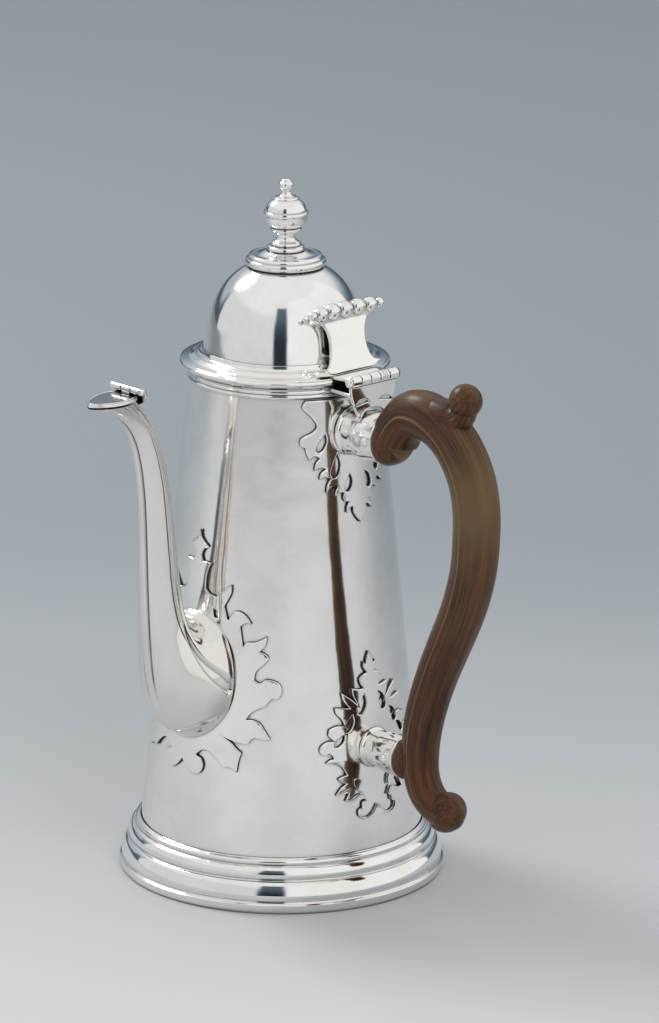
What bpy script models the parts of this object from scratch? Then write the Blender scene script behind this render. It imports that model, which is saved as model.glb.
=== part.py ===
"""Silver coffee pot: tapering raised body, swan-neck spout with a hinged flap, domed hinged lid
with finial and thumbpiece, and a carved wooden handle pinned into two silver sockets.

Frame: +Z up, origin on the body's axis at table level. The handle points along +X and the spout
along -Y. Sizes below are in millimetres; MM turns them into metres when a mesh is made.
"""
import math

import bmesh
import bpy
from mathutils import Matrix, Vector

MM = 0.001
ROUND = 40                 # facets round the large turned pieces
SMALL_ROUND = 16           # facets round small pins and sockets
GAP = 0.3                  # clearance between pieces that touch

# ---- body: a plain cone, raised from sheet -------------------------------------------------
BODY_BASE_R = 52.7         # outer radius at the base plate
BODY_TOP_R = 33.8          # outer radius at the mouth
BODY_TOP_Z = 186.4
BODY_WALL = 0.8
BASE_RECESS = 1.2          # height of the base plate's underside over the table
BASE_T = 1.0               # thickness of the base plate
BODY_BASE_Z = BASE_RECESS + BASE_T + GAP
BODY_SLOPE = (BODY_TOP_R - BODY_BASE_R) / (BODY_TOP_Z - BODY_BASE_Z)

FOOT_SPREAD = 6.1          # of the foot moulding beyond the body's base
FOOT_R = BODY_BASE_R + FOOT_SPREAD
FOOT_H = 18.6
FOOT_WALL = 1.8
RIM_H = 4.0                # height of the moulding under the mouth
RIM_PROUD = 1.1

# ---- lid ------------------------------------------------------------------------------------
LID_GAP = 0.4              # between the body's mouth and the lid's flange
FLANGE_OVERHANG = 3.8      # of the lid's moulded flange beyond the mouth
FLANGE_R = BODY_TOP_R + FLANGE_OVERHANG
FLANGE_H = 4.4
FLANGE_SHELF = 8.0         # from the flange's edge in to the dome's foot
DOME_R = FLANGE_R - FLANGE_SHELF
DOME_H = 33.6              # height of the dome over the flange
DOME_WALL = 1.0
BEZEL_H = 7.0              # depth of the ring that enters the mouth
BEZEL_WALL = 0.9
BEZEL_CLEAR = 0.6          # between that ring and the body's wall
DISC_R = 14.4              # moulded disc under the finial
FINIAL_R = 8.05
FINIAL_H = 28.6
STUD_R = 1.5
NUT_R = 3.6
NUT_H = 3.0
VENT_R = 1.3               # steam vent in the dome

# ---- lid hinge: axis along Y ------------------------------------------------------------------
HINGE_STANDOFF = 7.5       # of the hinge's axis from the flange's edge
HINGE_RISE = 3.9           # of the hinge's axis over the mouth
HINGE_X = FLANGE_R + HINGE_STANDOFF
HINGE_Z = BODY_TOP_Z + HINGE_RISE
HINGE_LEN = 22.4           # length over the five knuckles
HINGE_R = 2.05             # outer radius of the knuckles
HINGE_PIN_R = 0.9
HINGE_HEAD_T = 1.1         # pin head outside the last knuckle
KNUCKLES = 5
BRACKET_T = 1.5            # plate that carries the fixed knuckles

# ---- thumbpiece -------------------------------------------------------------------------------
THUMB_STANDOFF = 4.8       # of the thumbpiece's foot from the dome's foot
THUMB_LEAN = 5.1           # its bead row leans in this far from its foot
THUMB_BASE_X = DOME_R + THUMB_STANDOFF
THUMB_TOP_X = THUMB_BASE_X - THUMB_LEAN
THUMB_H = 22.0             # height of the bead row over the flange
THUMB_WAIST = 9.0          # half width at the waist
THUMB_TOP_W = 15.0         # half width under the beads
THUMB_T = 1.6
BEAD_R = 2.45              # largest bead, in the middle
BEAD_ROW = [(0.0, 3.3, 1.0), (6.2, 3.2, 0.97), (11.9, 2.8, 0.88), (16.1, 1.9, 0.66)]  # place, half length, size

# ---- sockets and handle -------------------------------------------------------------------------
UPPER_DROP = 16.9          # of the upper socket's axis below the mouth
LOWER_Z = 55.2             # height of the lower socket's axis
UPPER_REACH = 17.76        # the sockets' length outside the body; the wood's shoulders start there
LOWER_REACH = 16.92
UPPER_SOCKET_R = 8.9
LOWER_SOCKET_R = 7.5
SOCKET_WALL = 1.1
SOCKET_NARROW = 0.8        # the sockets are this much slimmer at the body
TENON_CLEAR = 0.3
TENON_LEN = 9.5
PIN_R = 1.3
PIN_HEAD_R = 1.75
PIN_INSET_UPPER = 3.4      # from the socket's end to its pin
PIN_INSET_LOWER = 4.1
HANDLE_ASPECT = 0.98       # width across the handle over its thickness
CURL_R = 5.7               # ball of the thumb curl
CARD_T = 0.8               # cut-card sheet
CARD_OPENING_W = 13.5      # half width and half height of the opening under the spout
CARD_OPENING_H = 16.0

# ---- spout ---------------------------------------------------------------------------------------
SPOUT_WALL = 1.1
SPOUT_HOLE_R = 1.5         # strainer holes in the body behind the spout
SPOUT_HOLE_PITCH = 6.2
SPOUT_ROOT_Z = 57.0        # lowest point of the spout's joint with the body
SPOUT_AXIS_RISE = 22.0     # of the strainer's middle over that point
SPOUT_AXIS_Z = SPOUT_ROOT_Z + SPOUT_AXIS_RISE
SPOUT_RISE = 0.8           # of the spout's mouth over the body's mouth
SPOUT_MOUTH_Z = BODY_TOP_Z + SPOUT_RISE
FLAP_SETBACK = 0.98        # of the flap hinge's axis behind the spout's mouth
FLAP_HINGE_RISE = 3.2      # and over it
FLAP_HINGE_LEN = 14.6
FLAP_HINGE_R = 1.25
FLAP_PIN_R = 0.55
FLAP_T = 1.0
FLAP_W = 7.6               # half width of the flap

SILVER = (0.86, 0.86, 0.85)
WOOD = (0.16, 0.06, 0.03)


def body_radius(z):
    """Outer radius of the body's cone at height z."""
    return BODY_BASE_R + BODY_SLOPE * (z - BODY_BASE_Z)


UPPER_Z = BODY_TOP_Z - UPPER_DROP
UPPER_END_X = body_radius(UPPER_Z) + UPPER_REACH
LOWER_END_X = body_radius(LOWER_Z) + LOWER_REACH


# ------------------------------------------------------------------------------------------------
# helpers
# ------------------------------------------------------------------------------------------------
def new_collection(name):
    collection = bpy.data.collections.new(name)
    bpy.context.scene.collection.children.link(collection)
    return collection


def new_material(name, colour, roughness, metallic):
    material = bpy.data.materials.new(name)
    material.use_nodes = True
    shader = material.node_tree.nodes["Principled BSDF"]
    shader.inputs["Base Color"].default_value = (*colour, 1.0)
    shader.inputs["Roughness"].default_value = roughness
    shader.inputs["Metallic"].default_value = metallic
    material.diffuse_color = (*colour, 1.0)
    return material


def silver(name, roughness=0.12):
    return new_material(name + "_silver", SILVER, roughness, 1.0)


def add_object(name, mesh, material=None, parent=None):
    obj = bpy.data.objects.new(name, mesh)
    if material is None:
        cutters.objects.link(obj)
        obj.hide_render = True
        obj.display_type = "WIRE"
    else:
        parts.objects.link(obj)
        mesh.materials.append(material)
        mesh.shade_smooth()
        mesh.set_sharp_from_angle(angle=math.radians(40))
    if parent is not None:
        obj.parent = parent
        obj.matrix_parent_inverse = parent.matrix_world.inverted()
    return obj


def pivot(name, location):
    """An empty on a joint's axis, for the pieces that turn about it."""
    empty = bpy.data.objects.new(name, None)
    empty.location = Vector(location) * MM
    parts.objects.link(empty)
    bpy.context.view_layer.update()
    return empty


def face_outwards(bm):
    """Faces of a closed body made to agree and to point out."""
    bmesh.ops.recalc_face_normals(bm, faces=bm.faces)
    if bm.calc_volume(signed=True) < 0:
        bmesh.ops.reverse_faces(bm, faces=bm.faces)


def mesh_from(bm, name):
    face_outwards(bm)
    mesh = bpy.data.meshes.new(name)
    bm.to_mesh(mesh)
    bm.free()
    return mesh


def turned(name, profile, material=None, parent=None, steps=ROUND, closed=True):
    """A turned piece from (radius, z) points that run down its outer side. A closed profile is a
    ring; an open one starts and ends on the axis."""
    points = [(r * MM, 0.0, z * MM) for r, z in profile]
    edges = [(i, i + 1) for i in range(len(points) - 1)]
    if closed:
        edges.append((len(points) - 1, 0))
    mesh = bpy.data.meshes.new(name)
    mesh.from_pydata(points, edges, [])
    obj = bpy.data.objects.new(name, mesh)
    bpy.context.scene.collection.objects.link(obj)
    screw = obj.modifiers.new("turn", "SCREW")
    screw.steps = steps
    screw.render_steps = steps
    screw.use_merge_vertices = True
    screw.merge_threshold = 0.00001
    solid = evaluated_copy(obj, name)
    return add_object(name, solid, material, parent)


def evaluated_copy(obj, name):
    """The evaluated mesh of a construction object in world space; the object is removed."""
    bpy.context.view_layer.update()
    graph = bpy.context.evaluated_depsgraph_get()
    mesh = bpy.data.meshes.new_from_object(obj.evaluated_get(graph))
    mesh.transform(obj.matrix_world)
    mesh.name = name
    bm = bmesh.new()
    bm.from_mesh(mesh)
    bmesh.ops.remove_doubles(bm, verts=bm.verts, dist=0.000002)
    face_outwards(bm)
    bm.to_mesh(mesh)
    bm.free()
    bpy.data.objects.remove(obj)
    return mesh


def cylinder(name, start, end, radius, material=None, parent=None, steps=SMALL_ROUND, radius2=None):
    """A cylinder, or a cone with radius2 at its end, between two points."""
    a, b = Vector(start) * MM, Vector(end) * MM
    bm = bmesh.new()
    bmesh.ops.create_cone(bm, cap_ends=True, segments=steps, radius1=radius * MM,
                          radius2=(radius if radius2 is None else radius2) * MM,
                          depth=(b - a).length)
    turn = Vector((0, 0, 1)).rotation_difference(b - a).to_matrix().to_4x4()
    bm.transform(Matrix.Translation((a + b) / 2) @ turn)
    return add_object(name, mesh_from(bm, name), material, parent)


def box(name, low, high, material=None, parent=None):
    bm = bmesh.new()
    bmesh.ops.create_cube(bm, size=1.0)
    low, high = Vector(low) * MM, Vector(high) * MM
    bm.transform(Matrix.Translation((low + high) / 2) @ Matrix.Diagonal((high - low).to_4d()))
    return add_object(name, mesh_from(bm, name), material, parent)


def prism(name, outline, holes, start, depth, axis):
    """A flat outline with holes, extruded from start by depth along -Y or +X. The outline's first
    coordinate runs across and its second is the height."""
    curve = bpy.data.curves.new(name, "CURVE")
    curve.dimensions = "2D"
    curve.fill_mode = "BOTH"
    curve.extrude = depth * MM / 2
    for points in [outline] + holes:
        spline = curve.splines.new("POLY")
        spline.points.add(len(points) - 1)
        for point, (across, height) in zip(spline.points, points):
            point.co = (across * MM, height * MM, 0, 1)
        spline.use_cyclic_u = True
    obj = bpy.data.objects.new(name, curve)
    bpy.context.scene.collection.objects.link(obj)
    upright = Matrix.Rotation(math.pi / 2, 4, "X")
    middle = (start + depth / 2) * MM
    if axis == "-Y":
        obj.matrix_world = Matrix.Translation((0, -middle, 0)) @ upright
    else:
        obj.matrix_world = Matrix.Translation((middle, 0, 0)) @ Matrix.Rotation(math.pi / 2, 4, "Z") @ upright
    return add_object(name, evaluated_copy(obj, name))


def combine(obj, tool, operation):
    """One Boolean, left on the object as a modifier."""
    modifier = obj.modifiers.new(tool.name, "BOOLEAN")
    modifier.object = tool
    modifier.operation = operation
    modifier.solver = "EXACT"
    return obj


def smooth_path(points, per_span):
    """Catmull-Rom curve through tuples of any length, with per_span steps between two points."""
    rows = [points[0]] + list(points) + [points[-1]]
    out = []
    for p0, p1, p2, p3 in zip(rows, rows[1:], rows[2:], rows[3:]):
        for step in range(per_span):
            t = step / per_span
            out.append(tuple(0.5 * (2 * b + (c - a) * t + (2 * a - 5 * b + 4 * c - d) * t * t
                                    + (3 * b - a - 3 * c + d) * t ** 3)
                             for a, b, c, d in zip(p0, p1, p2, p3)))
    out.append(tuple(points[-1]))
    return out


def loft(name, rings, material=None, parent=None):
    """A closed body through rings of points (millimetres), with flat end caps."""
    bm = bmesh.new()
    loops = [[bm.verts.new(Vector(p) * MM) for p in ring] for ring in rings]
    for lower, upper in zip(loops, loops[1:]):
        count = len(lower)
        for i in range(count):
            j = (i + 1) % count
            bm.faces.new((lower[i], lower[j], upper[j], upper[i]))
    bm.faces.new(loops[0])
    bm.faces.new(loops[-1])
    return add_object(name, mesh_from(bm, name), material, parent)


# ------------------------------------------------------------------------------------------------
# body, foot, rim
# ------------------------------------------------------------------------------------------------
def make_body():
    inner = BODY_WALL
    profile = [(BODY_TOP_R, BODY_TOP_Z), (BODY_BASE_R, BODY_BASE_Z),
               (BODY_BASE_R - inner, BODY_BASE_Z), (BODY_TOP_R - inner, BODY_TOP_Z)]
    body = turned("body_shell", profile, silver("body"))
    rows = (-2, -1, 0, 1, 2)
    for row in rows:
        height = SPOUT_AXIS_Z + row * SPOUT_HOLE_PITCH * 0.87
        count = 3 - abs(row) // 2 + (0 if row % 2 == 0 else -1)
        for column in range(count):
            across = (column - (count - 1) / 2) * SPOUT_HOLE_PITCH
            hole = cylinder(f"strainer_hole_{row + 2}_{column}", (across, -body_radius(height) + 8, height),
                            (across, -body_radius(height) - 6, height), SPOUT_HOLE_R, steps=10)
            combine(body, hole, "DIFFERENCE")
    return body


def make_base_and_foot():
    foot_inner = FOOT_R - FOOT_WALL - 0.6
    turned("base_plate", [(0, BASE_RECESS + BASE_T), (foot_inner - GAP, BASE_RECESS + BASE_T),
                          (foot_inner - GAP, BASE_RECESS), (0, BASE_RECESS)],
           silver("base_plate", 0.25), closed=False)
    top_r = body_radius(FOOT_H) + GAP
    # ogee from the body out to a flat band, then the same line offset inwards
    k = FOOT_H / 18.6
    outer = [(top_r + 0.9, FOOT_H), (top_r + 2.1, 17.2 * k), (top_r + 2.2, 16.1 * k), (top_r + 3.4, 13.2 * k),
             (top_r + 4.4, 11.9 * k), (top_r + 4.5, 11.0 * k), (FOOT_R - 2.0, 9.2 * k), (FOOT_R - 0.9, 6.0 * k),
             (FOOT_R - 0.7, 4.2 * k), (FOOT_R, 3.5 * k), (FOOT_R, 0.0)]
    inner = [(foot_inner, 0.0), (foot_inner, 3.4 * k), (FOOT_R - 4.2, 8.6 * k), (top_r + 1.6, 12.6 * k),
             (body_radius(15.0 * k) + GAP, 15.0 * k), (top_r, FOOT_H)]
    turned("foot_moulding", outer + inner, silver("foot"))


def make_rim():
    low = BODY_TOP_Z - RIM_H
    inner = body_radius(low) + GAP
    inner_top = body_radius(BODY_TOP_Z) + GAP
    outer = inner + RIM_PROUD
    turned("body_rim_moulding",
           [(inner_top + 1.6, BODY_TOP_Z), (outer + 0.9, BODY_TOP_Z - 0.8), (outer + 0.8, BODY_TOP_Z - 1.7),
            (outer, BODY_TOP_Z - 2.6), (outer - 0.2, low + 0.3), (inner + 0.3, low), (inner, low),
            (inner_top, BODY_TOP_Z)], silver("rim"))


# ------------------------------------------------------------------------------------------------
# lid
# ------------------------------------------------------------------------------------------------
FLANGE_Z = BODY_TOP_Z + LID_GAP
DOME_Z = FLANGE_Z + FLANGE_H
DISC_Z = DOME_Z + DOME_H


def dome_profile():
    """Bell-shaped dome from its foot to the disc: (radius, z) pairs."""
    shares = [(1.0, 0.0), (0.965, 0.15), (0.925, 0.32), (0.885, 0.47), (0.83, 0.6), (0.755, 0.72),
              (0.665, 0.82), (0.565, 0.9), (0.46, 0.96), (0.36, 1.0)]
    return [(DOME_R * r, DOME_Z + DOME_H * h) for r, h in shares]


def make_lid(parent):
    outer = dome_profile()
    seat = DOME_R + 1.4
    wall = DOME_WALL
    inner = [(r - wall, z - wall * 0.7) for r, z in outer[2::2]]
    inner.insert(0, (DOME_R - wall, DOME_Z))
    crown = STUD_R + GAP
    profile = [(crown, DISC_Z)] + outer[::-1] + inner + [(crown, DISC_Z - wall)]
    dome = turned("lid_dome", profile, silver("dome"), parent)
    vent_z = DOME_Z + DOME_H * 0.55
    vent = cylinder("vent_cutter", (0, DOME_R * 0.6, vent_z), (0, DOME_R * 1.2, vent_z), VENT_R, steps=12)
    combine(dome, vent, "DIFFERENCE")

    low = FLANGE_Z
    # moulded flange: convex wire at the edge, a fillet, then a cove up to the dome's foot
    turned("lid_flange_moulding",
           [(seat, DOME_Z - GAP), (seat + 1.4, low + 3.2), (seat + 2.6, low + 2.7), (FLANGE_R - 1.6, low + 2.4),
            (FLANGE_R, low + 1.5), (FLANGE_R - 0.2, low + 0.7), (FLANGE_R - 1.2, low), (BODY_TOP_R - BODY_WALL, low),
            (DOME_R - DOME_WALL, low + 1.2), (DOME_R - DOME_WALL, DOME_Z - GAP)], silver("flange"), parent)
    ring = BODY_TOP_R - BODY_WALL - BEZEL_CLEAR
    top = low - GAP
    bottom = top - BEZEL_H
    turned("lid_bezel", [(ring, top), (ring, bottom + 0.5), (ring - 0.3, bottom), (ring - BEZEL_WALL, bottom),
                         (ring - BEZEL_WALL, top)], silver("bezel", 0.2), parent)


def make_finial(parent):
    base = DISC_Z + GAP
    bore = STUD_R + GAP
    turned("finial_disc",
           [(bore, base + 3.0), (6.4, base + 3.0), (9.0, base + 1.9), (12.2, base + 1.9), (13.2, base + 1.3),
            (DISC_R, base + 0.3), (DISC_R, base - 0.6), (DISC_R - 1.2, base - 1.0),
            (DISC_R - 3.2, base), (bore, base)], silver("finial_disc"), parent, steps=36)
    start = base + 3.0 + GAP
    height = FINIAL_H - 3.0
    k = FINIAL_R / 8.05
    shares = [(0.0, 1.0), (1.6 * k, 0.98), (2.4 * k, 0.92), (1.6 * k, 0.84), (4.2 * k, 0.76), (4.6 * k, 0.71),
              (6.9 * k, 0.63), (FINIAL_R, 0.54), (FINIAL_R, 0.48), (6.8 * k, 0.40), (5.2 * k, 0.33),
              (5.6 * k, 0.28), (3.1 * k, 0.18), (3.8 * k, 0.11), (6.4 * k, 0.02), (6.4 * k, 0.0)]
    profile = [(r, start + height * h) for r, h in shares]
    hole_top = start + height * 0.3
    profile += [(bore, start), (bore, hole_top), (0.0, hole_top)]
    turned("finial", profile, silver("finial"), parent, steps=24, closed=False)
    below = DISC_Z - DOME_WALL - GAP
    turned("finial_stud", [(0, hole_top - GAP), (STUD_R, hole_top - GAP), (STUD_R, below - NUT_H - 1.2),
                           (0, below - NUT_H - 1.2)], silver("stud", 0.3), parent, steps=12, closed=False)
    nut = turned("finial_nut", [(STUD_R + GAP, below), (NUT_R, below), (NUT_R, below - NUT_H),
                                (STUD_R + GAP, below - NUT_H)], silver("nut", 0.3), parent, steps=6)
    nut.data.set_sharp_from_angle(angle=math.radians(20))


# ------------------------------------------------------------------------------------------------
# lid hinge and thumbpiece
# ------------------------------------------------------------------------------------------------
def knuckle_span(index, count, length, gap):
    """Start and end of one knuckle along the barrel, with a gap to its neighbours."""
    pitch = length / count
    start = -length / 2 + index * pitch
    return start + gap / 2, start + pitch - gap / 2


def make_lid_hinge(lid):
    axis_x, axis_z = HINGE_X, HINGE_Z
    # fixed side: shelf from the body's rim, apron plate down to the upper socket
    shelf_top = FLANGE_Z - LID_GAP
    shelf_low = shelf_top - BRACKET_T
    half = HINGE_LEN / 2 - 0.2
    socket_top = UPPER_Z + UPPER_SOCKET_R
    apron = prism("hinge_bracket_outline",
                  [(-half, axis_z - 0.4), (-half, axis_z - 3.6), (-half + 0.8, axis_z - 7.5), (-half + 2.4, axis_z - 11),
                   (-half + 3.2, socket_top - 4.2), (half - 3.2, socket_top - 4.2), (half - 2.4, axis_z - 11),
                   (half - 0.8, axis_z - 7.5), (half, axis_z - 3.6), (half, axis_z - 0.4)],
                  [], axis_x - BRACKET_T / 2, BRACKET_T, "+X")
    rim_outer = body_radius(BODY_TOP_Z - RIM_H) + GAP + RIM_PROUD + 0.9
    bracket = box("hinge_bracket", (BODY_TOP_R - 6.0, -half, shelf_low), (axis_x, half, shelf_top),
                  silver("hinge_bracket"))
    combine(bracket, apron, "UNION")
    combine(bracket, turned("rim_clearance", [(0, shelf_top + 9), (rim_outer + GAP, shelf_top + 9),
                                              (rim_outer + GAP, shelf_low - 9), (0, shelf_low - 9)],
                            closed=False, steps=ROUND), "DIFFERENCE")
    combine(bracket, cylinder("apron_socket_clearance", (20, 0, UPPER_Z), (70, 0, UPPER_Z),
                              UPPER_SOCKET_R + GAP, steps=24), "DIFFERENCE")
    clear = GAP + HINGE_R
    for index in range(KNUCKLES):
        start, end = knuckle_span(index, KNUCKLES, HINGE_LEN, GAP)
        if index % 2 == 0:
            combine(bracket, cylinder(f"fixed_knuckle_{index}", (axis_x, start, axis_z),
                                      (axis_x, end, axis_z), HINGE_R), "UNION")
        else:
            pitch_gap = GAP / 2
            combine(bracket, box(f"knuckle_room_{index}", (axis_x - clear, start - pitch_gap, axis_z - clear),
                                 (axis_x + clear, end + pitch_gap, axis_z + clear)), "DIFFERENCE")
    bore = cylinder("hinge_bore", (axis_x, -HINGE_LEN, axis_z), (axis_x, HINGE_LEN, axis_z),
                    HINGE_PIN_R + GAP)
    combine(bracket, bore, "DIFFERENCE")

    # moving side: a leaf fixed on the lid's flange, with the knuckles between the fixed ones
    leaf_low = FLANGE_Z + 2.4 + GAP
    leaf = box("lid_hinge_leaf", (THUMB_BASE_X - 1.2, -half + 0.4, leaf_low),
               (axis_x - 1.0, half - 0.4, leaf_low + 1.3), silver("hinge_leaf"), lid)
    combine(leaf, flange_clearance(), "DIFFERENCE")
    for index in range(KNUCKLES):
        start, end = knuckle_span(index, KNUCKLES, HINGE_LEN, GAP)
        if index % 2 == 1:
            combine(leaf, cylinder(f"moving_knuckle_{index}", (axis_x, start, axis_z),
                                   (axis_x, end, axis_z), HINGE_R), "UNION")
        else:
            room = GAP / 2
            combine(leaf, box(f"leaf_room_{index}", (axis_x - clear, start - room, axis_z - clear),
                              (axis_x + clear, end + room, axis_z + clear)), "DIFFERENCE")
    combine(leaf, bore, "DIFFERENCE")

    pin = cylinder("lid_hinge_pin", (axis_x, -HINGE_LEN / 2 - HINGE_HEAD_T, axis_z),
                   (axis_x, HINGE_LEN / 2 + HINGE_HEAD_T, axis_z), HINGE_PIN_R, silver("hinge_pin"), steps=14)
    for side in (-1, 1):
        near = side * (HINGE_LEN / 2 + GAP / 2)
        far = side * (HINGE_LEN / 2 + HINGE_HEAD_T + 0.2)
        combine(pin, cylinder(f"pin_head_{side + 1}", (axis_x, near, axis_z), (axis_x, far, axis_z),
                              HINGE_R * 0.95), "UNION")


def flange_clearance():
    """Space kept by the lid's flange, so that what stands on it starts a gap above."""
    low = FLANGE_Z - 3
    return turned("flange_clearance",
                  [(0, DOME_Z), (DOME_R + 0.4, DOME_Z), (DOME_R + 2.0, FLANGE_Z + FLANGE_H - 0.2),
                   (DOME_R + 4.6, FLANGE_Z + 3.3), (FLANGE_R - 1.2, FLANGE_Z + 2.75), (FLANGE_R + GAP, FLANGE_Z + 1.8),
                   (FLANGE_R + GAP, low), (0, low)], closed=False)


def thumb_x(height):
    """Outward position of the thumbpiece's middle line at a height over the flange."""
    share = height / THUMB_H
    lean = THUMB_BASE_X + (THUMB_TOP_X - THUMB_BASE_X) * share
    return lean + 1.5 * math.sin(share * 2 * math.pi) * (1 - 0.5 * share)


def make_thumbpiece(lid):
    start_z = FLANGE_Z + 2.4 + 1.3 + 2 * GAP
    rings = []
    levels = 12
    for level in range(levels + 1):
        share = level / levels
        height = share * THUMB_H
        z = start_z + height * (1 - 2.0 / THUMB_H)
        flare = THUMB_TOP_W - THUMB_WAIST
        width = THUMB_WAIST + flare * max(0.0, (share - 0.35) / 0.65) ** 2.2 + 1.2 * max(0.0, 1 - share * 3)
        x = thumb_x(height)
        half = THUMB_T / 2
        rings.append([(x + half, -width, z), (x + half, width, z),
                      (x - half, width, z), (x - half, -width, z)])
    loft("thumbpiece", rings, silver("thumbpiece"), lid)

    row_z = start_z + THUMB_H - 2.0 + GAP + BEAD_R
    end = BEAD_ROW[-1][0]
    row = cylinder("thumbpiece_beads", (THUMB_TOP_X, -end, row_z), (THUMB_TOP_X, end, row_z), 0.9,
                   silver("beads"), lid, steps=8)
    places = BEAD_ROW + [(-place, length, share) for place, length, share in BEAD_ROW[1:]]
    for index, (place, length, share) in enumerate(places):
        bm = bmesh.new()
        bmesh.ops.create_uvsphere(bm, u_segments=8, v_segments=6, radius=BEAD_R * share * MM)
        stretch = Matrix.Diagonal((1, length / (BEAD_R * share), 1, 1))
        bm.transform(Matrix.Translation(Vector((THUMB_TOP_X, place, row_z)) * MM) @ stretch)
        combine(row, add_object(f"bead_{index}", mesh_from(bm, f"bead_{index}")), "UNION")


# ------------------------------------------------------------------------------------------------
# handle and sockets
# ------------------------------------------------------------------------------------------------
# middle line of the wood in the XZ plane, from the upper scroll to the lower one: reach outside the
# line through the sockets' ends, height as a share of the sockets' spacing, radius
HANDLE_LINE = [(1.9, 0.975, 5.6), (3.7, 1.01, 8.7), (7.6, 1.062, 8.0), (13.4, 1.101, 8.2),
               (21.8, 1.103, 8.7), (30.5, 1.074, 8.7), (37.0, 1.025, 8.7), (41.5, 0.948, 8.7),
               (43.1, 0.859, 8.7), (42.2, 0.765, 8.65), (40.1, 0.668, 8.5), (35.8, 0.567, 8.35),
               (30.6, 0.479, 8.15), (24.6, 0.389, 7.95), (18.9, 0.299, 7.7), (14.0, 0.211, 7.5),
               (10.3, 0.124, 7.3), (8.1, 0.04, 7.0), (7.9, -0.031, 6.7), (10.1, -0.09, 6.6),
               (15.0, -0.124, 6.3), (20.7, -0.133, 6.4), (24.4, -0.124, 3.6)]
CURL_LINE = [(30.3, 1.101, 6.6), (35.5, 1.123, 6.2), (39.4, 1.158, 5.6), (40.2, 1.194, 5.7),
             (39.0, 1.22, 3.4)]


def between_sockets(line):
    """(x, z, radius) of points given by their reach outside the line through the sockets' ends and
    their height as a share of the sockets' spacing."""
    run_x, run_z = UPPER_END_X - LOWER_END_X, UPPER_Z - LOWER_Z
    return [(LOWER_END_X + run_x * share + reach, LOWER_Z + run_z * share, radius)
            for reach, share, radius in line]


def handle_rings(line, per_span, sides):
    """Rings of an oval section along a middle line given as (x, z, radius)."""
    rows = smooth_path(between_sockets(line), per_span)
    rings = []
    for index, (x, z, radius) in enumerate(rows):
        before = rows[max(index - 1, 0)]
        after = rows[min(index + 1, len(rows) - 1)]
        along = Vector((after[0] - before[0], 0, after[1] - before[1])).normalized()
        across = Vector((0, 1, 0))
        normal = along.cross(across)
        ring = []
        for step in range(sides):
            angle = 2 * math.pi * step / sides
            point = Vector((x, 0, z)) + across * (radius * HANDLE_ASPECT * math.cos(angle))
            ring.append(point + normal * (radius * math.sin(angle)))
        rings.append(ring)
    return rings


def make_handle():
    wood = new_material("handle_wood", WOOD, 0.35, 0.0)
    handle = loft("handle", handle_rings(HANDLE_LINE, 1, 14), wood)
    combine(handle, loft("thumb_curl", handle_rings(CURL_LINE, 1, 12)), "UNION")
    for name, end_x, z, radius in (("upper", UPPER_END_X, UPPER_Z, UPPER_SOCKET_R),
                                   ("lower", LOWER_END_X, LOWER_Z, LOWER_SOCKET_R)):
        tenon_r = radius - SOCKET_WALL - TENON_CLEAR
        combine(handle, cylinder(f"{name}_shoulder", (end_x - 2, 0, z), (end_x + 7, 0, z), radius - 0.2,
                                 steps=24), "UNION")
        combine(handle, cylinder(f"{name}_shoulder_cutter", (end_x - 24, 0, z), (end_x + GAP, 0, z),
                                 radius + 4 * GAP, steps=24), "DIFFERENCE")
        tenon = cylinder(f"{name}_tenon", (end_x - TENON_LEN, 0, z), (end_x + 5.0, 0, z), tenon_r)
        combine(handle, tenon, "UNION")
    for name, x, z in pin_places():
        combine(handle, cylinder(f"{name}_wood_bore", (x, -30, z), (x, 30, z), PIN_R + GAP, steps=14),
                "DIFFERENCE")


def pin_places():
    return (("upper", UPPER_END_X - PIN_INSET_UPPER, UPPER_Z),
            ("lower", LOWER_END_X - PIN_INSET_LOWER, LOWER_Z))


def sleeve(name, inner_offset, thickness, low, high):
    """A ring that follows the body's cone at a distance, for cutting and for the cut-cards."""
    def side(z, extra):
        return body_radius(z) + inner_offset + extra
    return turned(name, [(side(high, thickness), high), (side(low, thickness), low), (side(low, 0), low),
                         (side(high, 0), high)])


def body_cutter(name, offset, low, high):
    """A solid cone a given distance outside the body."""
    return turned(name, [(0, high), (body_radius(high) + offset, high), (body_radius(low) + offset, low), (0, low)],
                  closed=False)


def make_socket(name, end_x, z, radius, material_name):
    inner = radius - SOCKET_WALL
    root = radius - SOCKET_NARROW
    start_x = body_radius(z) - 6
    step_x = body_radius(z) + CARD_T + 2 * GAP + 3.2
    # outer line from the end back to the body, with a step ring; bored through
    profile = [(radius, end_x), (radius + 0.2, end_x - 0.6), (radius - 0.1, end_x - 1.6), (root, step_x + 0.5),
               (root + 0.5, step_x), (root + 1.2, step_x - 1.0), (root + 2.2, start_x), (inner - 0.6, start_x),
               (inner, step_x), (inner, end_x)]
    socket = turned(name, profile, silver(material_name), steps=24)
    lay = Matrix.Translation((0, 0, z * MM)) @ Matrix.Rotation(math.pi / 2, 4, "Y")
    socket.data.transform(lay)
    offset = CARD_T + 2 * GAP
    combine(socket, body_cutter(f"{name}_seat", offset, z - 30, min(z + 30, BODY_TOP_Z + 20)), "DIFFERENCE")
    return socket


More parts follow.
